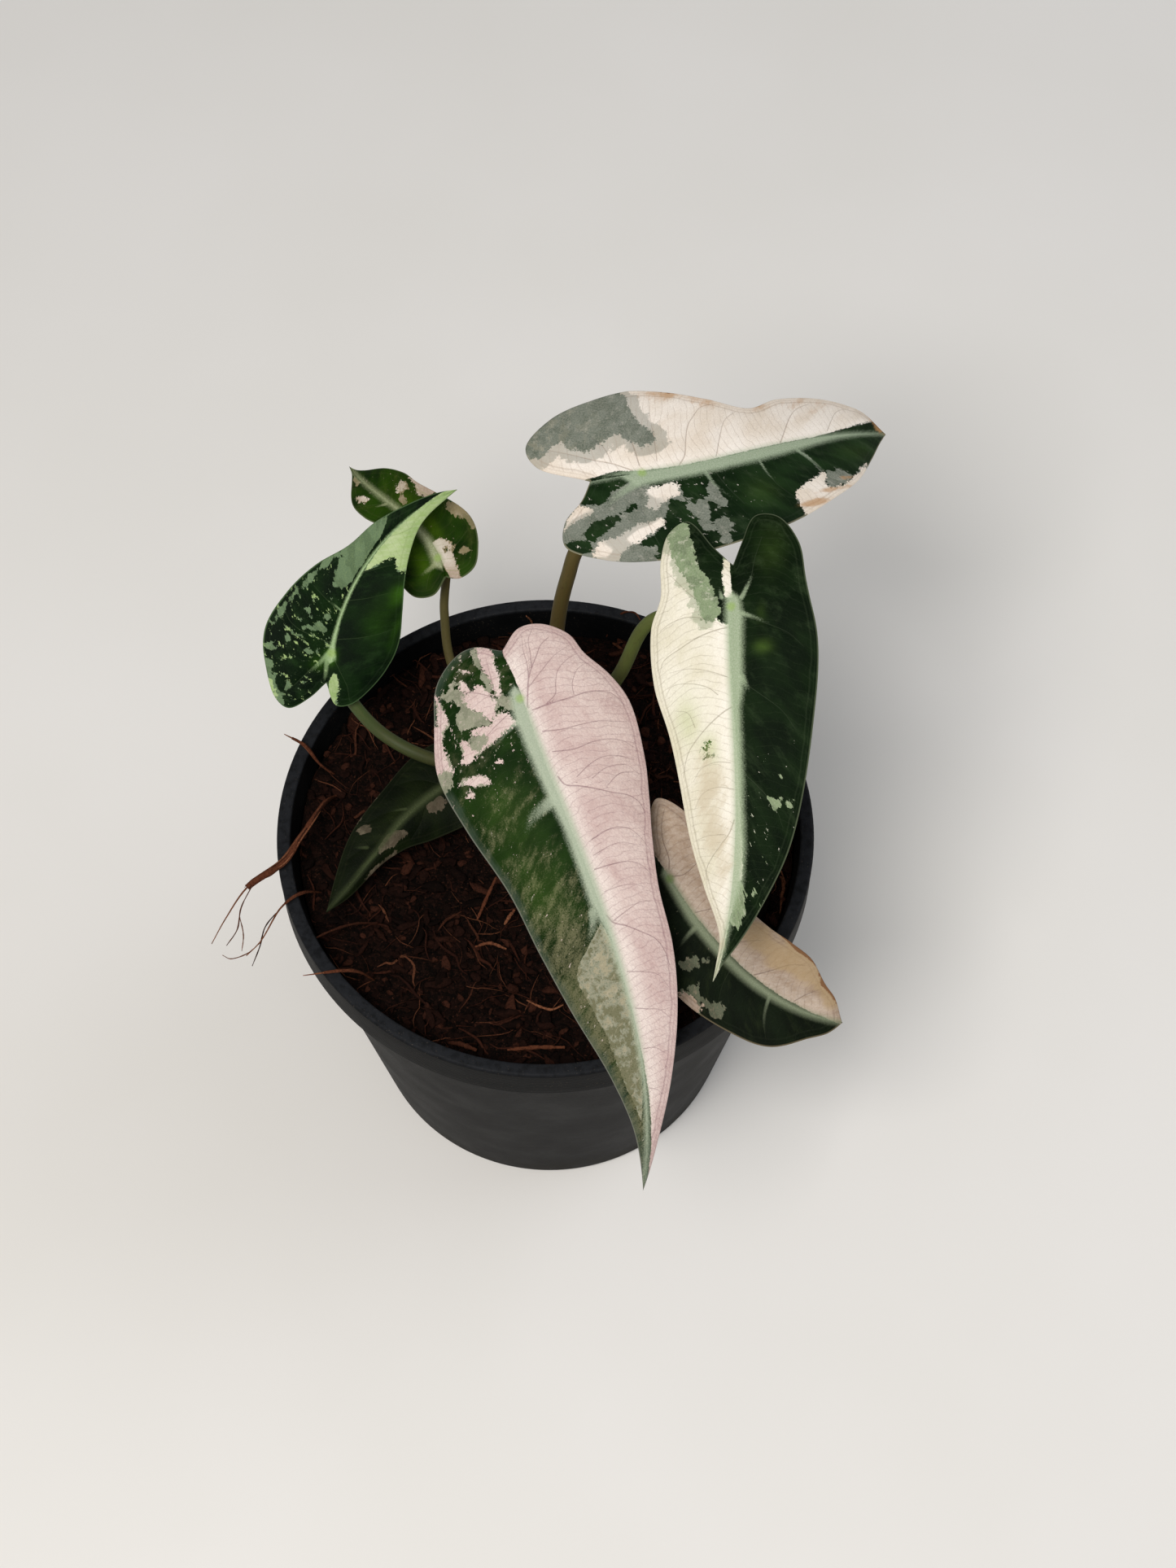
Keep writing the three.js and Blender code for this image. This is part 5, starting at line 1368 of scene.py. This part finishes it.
def pot_look():
    """Black moulded plastic: a fine grain, faint flow lines, scuffs and a painted highlight on the rim, and
    dust.
    """
    look = Look("pot_plastic")
    place = look.millimetres()
    height = look.part(place, "Z")
    grain = look.noise(place, 2.4, 3, 0.6)
    cloud = look.noise(place, 0.07, 4, 0.6)
    streaks = look.noise(place, 0.6, 5, 0.6, (1, 1, 0.12))
    specks = look.noise(place, 3.1, 2, 0.5, shift=(40, 0, 0))
    # the lighter band on the rim's top is partly scuffs, partly a painted highlight
    rim_scuffs_and_highlight = height.step(POT_HEIGHT - 0.9, POT_HEIGHT - 0.1) * streaks.step(0.3, 0.6, 0.25, 0.7)
    dusty = specks.step(0.66, 0.74) * cloud.step(0.4, 0.6)
    low_dust = height.step(0, 16, 0.22, 0) * cloud.step(0.35, 0.7)
    colour = look.painted(
        look.mix(cloud.step(0.35, 0.7, 0, 0.7), "#090a0b", "#101112"), (rim_scuffs_and_highlight, "#24262a"),
        (dusty * 0.5, "#6f6355"), (low_dust * 0.5, "#57503f"))
    relief = grain * 0.05 + look.math("SINE", height * 7.0) * 0.006 + streaks * 0.02
    rough = cloud.step(0.3, 0.7, 0.5, 0.58) + dusty * 0.3 + low_dust * 0.3
    return look.finish(base_color=colour, roughness=rough, specular_ior_level=DULL_SHINE,
                       normal=look.bump(relief))


def soil_look():
    """The loose mix between the chips: dark crumbs of coir dust, peat and fine bark, darker in part as
    painted shade for the dim light over the soil.
    """
    look = Look("soil_crumbs")
    place = look.millimetres()
    shade = look.part(look.cells(place, 1.1, output="Color"), "X")
    fine = look.noise(place, 2.6, 6, 0.7)
    colour = look.painted(
        look.mix(shade.step(0.2, 0.95, 0, 1), "#080402", "#1c0e09"),
        (fine.step(0.52, 0.68, 0, 0.7), "#301b15"),
        (look.noise(place, 1.7, 3).step(0.62, 0.7, 0, 0.6), "#4c2d20"))
    relief = look.cells(place, 1.1) * -0.9 + fine * 0.7
    return look.finish(base_color=colour, roughness=0.93, specular_ior_level=0.08, normal=look.bump(relief))


def coir_look(name, dark, middle, light):
    """Coir and bark: each bit has its own shade, with a fine grain along it."""
    look = Look(name)
    shade = look.mark("shade")
    grain = look.noise(look.millimetres(), 2.2, 6, 0.68)
    colour = look.painted(
        dark, (shade.step(0, 0.6), middle), (shade.step(0.6, 1), light),
        (grain.step(0.44, 0.66, 0, 0.6), dark), (grain.step(0.3, 0.42, 0.35, 0), light))
    return look.finish(base_color=colour, roughness=0.86, specular_ior_level=DULL_SHINE,
                       normal=look.bump(grain * 0.35))


def floor_look():
    """A plain pale floor with a very faint unevenness."""
    look = Look("pale_floor")
    colour = look.mix(look.noise(look.place(), 9.0, 3).step(0.3, 0.7), "#e6e5e2", "#e9e8e6")
    return look.finish(base_color=colour, roughness=0.75, specular_ior_level=0.2)


# Stalks and crown

def stalk_line(leaf):
    """The even route of a stalk from the crown to the underside of its blade."""
    attach = np.array(leaf["attach"], float)
    up = blade_axes(leaf, np.float64(0))[2]
    under = EDGE_THICKNESS + NERVE_DEPTH + GAP
    points = [(*CROWN, SOIL_LEVEL), *leaf["stalk"], attach - up * (under + 3 * leaf["stalk_radius"]),
              attach - up * under]
    return evenly(smooth_line(points, 600), STALK_STEPS)


def sheath_share(line):
    length = line_length(line)
    return float(np.clip(SHEATH_SHARE * length, SHORTEST_SHEATH, LONGEST_SHEATH)) / length


def stalk_groove(turns):
    return 1 - 0.07 * np.exp(-((turns - 1.2) / 0.35) ** 2)


def sheath_ribs(turns):
    return 1 - 0.035 * np.abs(np.sin(6 * turns + 0.4)) - 0.1 * np.exp(-((turns - 3.6) / 0.2) ** 2)


def make_stalk(letter, material):
    """One stalk above its sheath, thinner towards its blade, with a shallow groove along it."""
    whole, radius = stalk_line(LEAVES[letter]), LEAVES[letter]["stalk_radius"]
    first = sheath_share(whole) + GAP / line_length(whole)
    shares = np.linspace(first, 1, STALK_RINGS)
    line = part_line(whole, first, 1, STALK_RINGS)
    radii = radius * (1.12 - 0.2 * shares) * np.interp(shares, [0.93, 0.97, 1], [1, 0.8, 0.72])
    radii[0] *= 0.9
    points, faces, along, turns = shaped_tube(line, radii, STALK_SIDES, stalk_groove)
    place = np.stack([radius * np.cos(turns), radius * np.sin(turns), along * line_length(line)], -1)
    marks = {"along": along, "stalk_place": place}
    return joined_solids("stem_" + letter, [(points, faces, marks)], material)


def crown_stem():
    """The short thick stem that the sheaths spring from, closed at both ends."""
    turns = 2 * np.pi * np.arange(CROWN_SIDES) / CROWN_SIDES
    rings = []
    for share, height in CROWN_SHAPE:
        reach = CROWN_RADIUS * share * (1 - 0.06 * np.abs(np.sin(3.5 * turns + 2 * height)))
        z = CROWN_FOOT + height * (CROWN_TOP - CROWN_FOOT)
        rings.append(np.stack([CROWN[0] + reach * np.cos(turns), CROWN[1] + reach * np.sin(turns),
                               z + 0 * turns], -1))
    return *ring_solid((*CROWN, CROWN_FOOT), rings, (*CROWN, CROWN_TOP)), {}


def sheath(letter):
    """The broad foot of one stalk, ribbed along, that ends in a slanting papery edge."""
    whole, radius = stalk_line(LEAVES[letter]), LEAVES[letter]["stalk_radius"]
    shares = np.linspace(0, 1, SHEATH_RINGS)
    radii = radius * (1.9 - 0.65 * shares) * np.interp(shares, [0, 0.9, 1], [1, 1, 0.93])
    line = part_line(whole, 0, sheath_share(whole), SHEATH_RINGS)
    return *shaped_tube(line, radii, SHEATH_SIDES, sheath_ribs)[:2], {}


# Pot and soil

def inner_radius(height):
    return FOOT_RADIUS + (BODY_TOP_RADIUS - FOOT_RADIUS) * height / POT_HEIGHT - WALL


def arc(centre, radius, first, last, steps):
    """Points of a round corner in a profile, between two angles in degrees."""
    angles = [math.radians(first + (last - first) * i / steps) for i in range(steps + 1)]
    return [(centre[0] + radius * math.cos(a), centre[1] + radius * math.sin(a)) for a in angles]


def pot_profile():
    """The pot's section, from the middle of its foot up its outside and down its inside."""
    band_foot = POT_HEIGHT - BAND_DEPTH
    outer = inner_radius(band_foot) + WALL
    inside = inner_radius(POT_HEIGHT)
    slope = (outer - FOOT_RADIUS) / (band_foot - FOOT_ROUND)
    return [
        (0, 0.5), (FOOT_RADIUS - 8, 0.5), (FOOT_RADIUS - 7.4, 0), (FOOT_RADIUS - FOOT_ROUND, 0),
        *arc((FOOT_RADIUS - FOOT_ROUND, FOOT_ROUND), FOOT_ROUND, -60, 0, 5),
        *[(FOOT_RADIUS + 0.05 + slope * (z - FOOT_ROUND), z) for z in (4, 12, 24, 36, 48, 60, 72, 82, 88)],
        (outer, band_foot - 0.4), (outer + 0.15, band_foot), (RIM_RADIUS - 0.5, band_foot),
        *arc((RIM_RADIUS - 0.5, band_foot + 0.5), 0.5, -60, 0, 4),
        (RIM_RADIUS - 0.05, 93), (RIM_RADIUS - 0.05, 96),
        *arc((RIM_RADIUS - RIM_ROUND, POT_HEIGHT - RIM_ROUND), RIM_ROUND, 0, 90, 7),
        *arc((inside + LIP_ROUND, POT_HEIGHT - LIP_ROUND), LIP_ROUND, 90, 170, 5),
        *[(inner_radius(z), z) for z in (98.4, 96, 92, 80, 60, 40, 20, 6)],
        *arc((inner_radius(4) - FOOT_ROUND, FLOOR + FOOT_ROUND), FOOT_ROUND, 0, -90, 5),
        (DRAIN_CIRCLE, FLOOR), (0, FLOOR),
    ]


def make_pot(material):
    """The nursery pot, turned from its profile, with its drain holes cut through the floor."""
    (_, foot), *profile, (_, top) = pot_profile()
    rings = [round_points(radius, height, POT_SIDES) for radius, height in profile]
    pot = mesh_piece("nursery_pot", *ring_solid((0, 0, foot), rings, (0, 0, top)), [material])
    drills = []
    for k in range(DRAIN_HOLES):
        turn = 2 * math.pi * (k + 0.5) / DRAIN_HOLES
        line = [(DRAIN_CIRCLE * math.cos(turn), DRAIN_CIRCLE * math.sin(turn), z) for z in DRILL_ENDS]
        drills.append((*tube(line, [DRAIN_RADIUS] * len(line), DRILL_SIDES)[:2], {}))
    cut = pot.modifiers.new("drain holes", "BOOLEAN")
    cut.operation = "DIFFERENCE"
    cut.solver = "EXACT"
    cut.object = joined_solids("drain_drills", drills, material)
    made = plain_mesh(pot)
    bpy.data.objects.remove(cut.object)
    pot.modifiers.remove(cut)
    pot.data = made
    made.set_sharp_from_angle(angle=math.radians(SHARP_ANGLE))
    return pot


def soil_height(x, y):
    swell = math.sin(x / 9 + 1.3) * math.cos(y / 11 - 0.6) + 0.6 * math.sin((x - y) / 6.5)
    lumps = noise.noise((x / 2.6, y / 2.6, 0.7)) * 0.9 + noise.noise((x / 1.1, y / 1.1, 4.2)) * 0.45
    return SOIL_LEVEL + SOIL_ROUGHNESS * swell + 0.5 * lumps


def make_soil(material):
    """The soil's body: a lumpy top over straight sides that stop short of the pot."""
    edge = inner_radius(SOIL_LEVEL) - SOIL_TOP_CLEARANCE
    rings, sides = SOIL_RINGS, SOIL_SIDES
    points = [(0, 0, soil_height(0, 0))]
    for i in range(1, rings + 1):
        points += [(x, y, soil_height(x, y)) for x, y, _ in round_points(edge * i / rings, 0, sides)]
    for height in (*SOIL_SIDE_HEIGHTS, FLOOR + GAP):
        points += round_points(inner_radius(height) - SOIL_SIDE_CLEARANCE, height, sides)
    bottom = len(points)
    points.append((0, 0, FLOOR + GAP))
    faces = []
    for k in range(sides):
        after = (k + 1) % sides
        faces.append([0, 1 + k, 1 + after])
        faces += [[row + k, row + sides + k, row + sides + after, row + after]
                  for row in range(1, 1 + (rings + 2) * sides, sides)]
        row = 1 + (rings + 2) * sides
        faces.append([row + k, bottom, row + after])
    return mesh_piece("coir_bed", points, faces, [material])


# What grows over the soil

class Growth(Nodes):
    """A Geometry Nodes tree that strews bits over the soil."""

    def __init__(self, name, **values):
        super().__init__(bpy.data.node_groups.new(name, "GeometryNodeTree"))
        face = self.tree.interface
        face.new_socket("Ground", in_out="INPUT", socket_type="NodeSocketGeometry")
        self.values = {}
        for label, value in values.items():
            kind = {int: "NodeSocketInt", float: "NodeSocketFloat", tuple: "NodeSocketVector"}[type(value)]
            socket = face.new_socket(label, in_out="INPUT", socket_type=kind)
            socket.default_value = value
            self.values[socket.identifier] = value
        face.new_socket("Pieces", in_out="OUTPUT", socket_type="NodeSocketGeometry")
        self.start = self.tree.nodes.new("NodeGroupInput")
        self.end = self.tree.nodes.new("NodeGroupOutput")

    def given(self, label):
        return Value(self, self.start.outputs[label])

    def random(self, low, high, seed, vector=False):
        kind = {"data_type": "FLOAT_VECTOR" if vector else "FLOAT"}
        return self.made("FunctionNodeRandomValue", kind, Min=low, Max=high, Seed=seed)

    def strewn(self, bit, turn, size):
        """The bit at points all over the upward faces of the ground, each turned and sized."""
        facing = self.part(self.made("GeometryNodeInputNormal"), "Z")
        points = self.made("GeometryNodeDistributePointsOnFaces", Mesh=self.given("Ground"),
                           Selection=self.math("GREATER_THAN", facing, UPWARD),
                           Density=self.given("Density"), Seed=self.given("Seed"))
        return self.made("GeometryNodeInstanceOnPoints", Points=points, Instance=bit, Rotation=turn,
                         Scale=size)

    def marked(self, bits, name, value):
        """The bits, each with a number of its own that its parts can read."""
        return self.made("GeometryNodeStoreNamedAttribute", {"data_type": "FLOAT", "domain": "INSTANCE"},
                         Geometry=bits, Name=name, Value=value)

    def bent(self, bits, scale, detail, middle, reach, lift=0.0):
        """The bits made real, bent by noise, lifted and kept in the pot."""
        real = self.made("GeometryNodeRealizeInstances", Geometry=bits)
        wander = self.made("ShaderNodeTexNoise", (), "Color", Vector=self.made("GeometryNodeInputPosition"),
                           Scale=scale, Detail=detail)
        shift = self.math("MULTIPLY", self.math("SUBTRACT", wander, middle, vector=True), reach, vector=True)
        shift = self.math("ADD", shift, self.made("ShaderNodeCombineXYZ", Z=lift), vector=True)
        return self.kept_in_pot(self.made("GeometryNodeSetPosition", Geometry=real, Offset=shift))

    def kept_in_pot(self, geometry):
        """Points that lie closer to the pot's slanted wall than the gap are drawn in from it."""
        position = self.made("GeometryNodeInputPosition")
        height = self.math("MINIMUM", self.part(position, "Z"), (POT_HEIGHT - 1) * MM)
        slant = (BODY_TOP_RADIUS - FOOT_RADIUS) / POT_HEIGHT
        reach = height * slant + (FOOT_RADIUS - WALL) * MM - self.given("Gap")
        out = self.math("LENGTH", self.math("MULTIPLY", position, (1, 1, 0), vector=True), vector=True)
        share = self.math("MINIMUM", reach / out, 1.0)
        scale = self.made("ShaderNodeCombineXYZ", X=share, Y=share, Z=1.0)
        moved = self.math("MULTIPLY", position, scale, vector=True)
        return self.made("GeometryNodeSetPosition", Geometry=geometry, Position=moved)

    def grown(self, name, ground, result, material):
        """The tree's bits on the ground, as one plain mesh."""
        real = self.made("GeometryNodeRealizeInstances", Geometry=result)
        smooth = self.made("GeometryNodeSetShadeSmooth", Geometry=real, Shade_Smooth=True)
        self.put(self.end.inputs[0], self.made("GeometryNodeSetMaterial", Geometry=smooth, Material=material))
        holder = in_scene(name + "_holder", ground.data.copy())
        growth = holder.modifiers.new(name, "NODES")
        growth.node_group = self.tree
        for identifier, value in self.values.items():
            growth[identifier] = value
        made = plain_mesh(holder)
        holder.modifiers.remove(growth)
        bpy.data.objects.remove(holder)
        return in_scene(name, made)


def scaled(lengths):
    return tuple(length * MM for length in lengths)


def soil_chips(name, ground, material):
    """Bits of bark and husk that lie all ways on the soil."""
    count, smallest, largest, lift, seed = CHIPS[name]
    growth = Growth(name, Density=count / SOIL_AREA, Smallest=scaled(smallest), Largest=scaled(largest),
                    Lift=lift * MM, Gap=CHIP_GAP * MM, Seed=seed)
    bit = growth.made("GeometryNodeMeshIcoSphere", Radius=1.0, Subdivisions=2)
    turn = growth.random(*CHIP_TURNS, 3, vector=True)
    size = growth.random(growth.given("Smallest"), growth.given("Largest"), 5, vector=True)
    shaded = growth.marked(growth.strewn(bit, turn, size), "shade", growth.random(0.0, 1.0, 9))
    broken = growth.bent(shaded, scale=420.0, detail=3.0, middle=(0.5, 0.5, 0.5),
                         reach=(0.0034, 0.0034, 0.003), lift=growth.given("Lift"))
    return growth.grown(name, ground, broken, material)


def soil_fibres(name, ground, material):
    """Curved coir fibres that lie over the soil, thin at both ends."""
    count, shortest, longest, radius, seed = FIBRES[name]
    growth = Growth(name, Density=count / SOIL_AREA, Shortest=shortest * MM, Longest=longest * MM,
                    Radius=radius * MM, Gap=FIBRE_GAP * MM, Seed=seed)
    strand = growth.made("GeometryNodeCurvePrimitiveLine", Start=(-0.5, 0, 0), End=(0.5, 0, 0))
    strand = growth.made("GeometryNodeResampleCurve", Curve=strand, Count=FIBRE_POINTS)
    turn = growth.random(*FIBRE_TURNS, 2, vector=True)
    size = growth.random(growth.given("Shortest"), growth.given("Longest"), 4)
    shaded = growth.marked(growth.strewn(strand, turn, size), "shade", growth.random(0.15, 1.0, 8))
    thick = growth.marked(shaded, "thickness", growth.random(0.55, 1.5, 6))
    kept = growth.bent(thick, scale=75.0, detail=2.0, middle=(0.5, 0.5, 0.42), reach=(0.013, 0.013, 0.005))
    taper = growth.math("SINE", growth.made("GeometryNodeSplineParameter") * math.pi) * 0.75 + 0.25
    own = growth.made("GeometryNodeInputNamedAttribute", {"data_type": "FLOAT"}, Name="thickness")
    ring = growth.made("GeometryNodeCurvePrimitiveCircle", Resolution=FIBRE_SIDES, Radius=1.0)
    body = growth.made("GeometryNodeCurveToMesh", Curve=kept, Profile_Curve=ring,
                       Scale=taper * own * growth.given("Radius"), Fill_Caps=True)
    return growth.grown(name, ground, body, material)


# Loose strands, straws and hair roots

def strand_tubes(name):
    """One loose strand: its core, finer fibres that lie along it and the hair root it ends in."""
    radius, blunt, points = STRANDS[name]
    route = evenly(smooth_line(points, 300), 120)
    core, root = part_line(route, 0, blunt, CORE_RINGS), part_line(route, blunt - 0.04, 1, ROOT_RINGS)
    shares = np.linspace(0, 1, CORE_RINGS)
    swell = (0.36 + 0.36 * shares) * (1 + 0.12 * np.sin(shares * 31) + 0.08 * np.sin(shares * 67 + 1))
    parts = [(core, radius * swell, 10), (root, np.linspace(0.24, 0.1, ROOT_RINGS), 6)]
    count = 8 if name == "long" else 3
    share = np.linspace(0, 1, FINE_RINGS)
    for k in range(count):
        off = radius * (0.38 + 0.34 * share + 0.16 * np.sin(share * 9 + k))
        swing = 2 * math.pi * k / count + 1.4 * share
        aside = np.stack([off * np.cos(swing), off * np.sin(swing), 0.5 * off * np.sin(swing * 1.3)], -1)
        line = part_line(core, 0.04 + 0.1 * (k % 4), 0.86 + 0.07 * (k % 3), FINE_RINGS) + aside
        parts.append((line, 0.24 * radius * np.sin(np.pi * (0.08 + 0.86 * share)), 6))
    return parts


def loose_tubes(entries):
    """Straws and hair roots, a little knotty and thin at their ends."""
    share = np.linspace(0, 1, STRAW_RINGS)
    swell = 0.35 + 0.65 * np.sin(np.pi * (0.1 + 0.8 * share))
    return [(evenly(smooth_line(points, 200), STRAW_RINGS - 1),
             radius * (1 + 0.14 * np.sin(share * 23 + index) + 0.08 * np.sin(share * 51)) * swell, 7)
            for index, (radius, points) in enumerate(entries)]


def fibre_piece(name, tubes, material):
    """Bars that each have their own shade, as one piece."""
    solids = []
    for index, (line, radii, sides) in enumerate(tubes):
        points, faces, along, _ = tube(line, radii, sides)
        shade = 0.45 + 0.4 * math.sin(index * 2.3) + 0.15 * along
        solids.append((points, faces, {"shade": np.clip(shade, 0, 1)}))
    return joined_solids(name, solids, material)


# Stage, light and camera

def make_floor():
    points = [(x * FLOOR_REACH, y * FLOOR_REACH, 0) for x, y in ((-1, -1), (1, -1), (1, 1), (-1, 1))]
    mesh_piece("floor", points, [[0, 1, 2, 3]], [floor_look()])


def soft_light(name, place, size, power, colour):
    light = bpy.data.lights.new(name, "AREA")
    light.shape = "DISK"
    light.size = size
    light.energy = power
    light.color = tone(colour)[:3]
    made = in_scene(name, light)
    made.location = place
    made.rotation_euler = (Vector(LIGHT_TARGET) - Vector(place)).to_track_quat("-Z", "Y").to_euler()


def make_light():
    world = bpy.data.worlds.new("soft_studio")
    world.use_nodes = True
    sky = world.node_tree.nodes["Background"].inputs
    sky["Color"].default_value = tone(WORLD_TONE)
    sky["Strength"].default_value = WORLD_STRENGTH
    bpy.context.scene.world = world
    for name, settings in LIGHTS.items():
        soft_light(name, *settings)
    bpy.context.scene.view_settings.view_transform = "Standard"


def make_camera():
    rise = math.radians(VIEW_ELEVATION)
    back = Vector((0, -math.cos(rise), math.sin(rise)))
    lens = bpy.data.cameras.new("photo_view")
    lens.sensor_width = SENSOR
    lens.lens = FOCAL_PIXELS / IMAGE_LONG_SIDE * SENSOR
    lens.clip_start = NEAREST_SEEN
    view = in_scene("photo_view", lens)
    view.location = (Vector(VIEW_TARGET) + back * VIEW_DISTANCE) * MM
    view.rotation_euler = (math.pi / 2 - rise, 0, 0)
    bpy.context.scene.camera = view


# The whole object

def place_piece(piece, slot, *nodes):
    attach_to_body(piece, "root")
    if nodes:
        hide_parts(*nodes)


def make_plant():
    for letter, leaf in LEAVES.items():
        blade = make_blade(letter, [BladeLook(letter, under).blade() for under in (False, True)])
        place_piece(blade, leaf["slot"], "blade_" + letter)
        slot, *tones = STALKS[letter]
        place_piece(make_stalk(letter, stalk_look("stalk_skin_" + letter, *tones)), slot, "stalk_" + letter)
    feet = [crown_stem(), *[sheath(letter) for letter in LEAVES]]
    place_piece(joined_solids("sheathed_crown", feet, crown_look()), "crown", "crown")


def make_pot_and_soil():
    place_piece(make_pot(pot_look()), "pot", "pot")
    bed = make_soil(soil_look())
    place_piece(bed, "soil", "soil")
    husk, fibre, loose = (coir_look(name, *tones) for name, tones in COIR_TONES.items())
    for name in CHIPS:
        place_piece(soil_chips(name, bed, husk), "soil")
    for name in FIBRES:
        place_piece(soil_fibres(name, bed, fibre), "strand")
    for name in STRANDS:
        strand = fibre_piece("coir_strand_" + name, strand_tubes(name), loose)
        place_piece(strand, "strand", "strand_" + name)
    place_piece(fibre_piece("soil_straws", loose_tubes(STRAWS), loose), "strand")
    place_piece(fibre_piece("hair_roots", loose_tubes(HAIR_ROOTS), loose), "strand")


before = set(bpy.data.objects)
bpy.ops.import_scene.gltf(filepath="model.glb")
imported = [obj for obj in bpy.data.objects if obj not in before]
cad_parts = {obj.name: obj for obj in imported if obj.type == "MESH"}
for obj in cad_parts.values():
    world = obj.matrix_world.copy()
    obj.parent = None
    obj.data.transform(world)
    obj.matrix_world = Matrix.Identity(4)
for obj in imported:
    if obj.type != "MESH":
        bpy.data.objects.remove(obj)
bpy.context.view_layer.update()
make_camera()
make_light()
make_floor()
make_pot_and_soil()
make_plant()
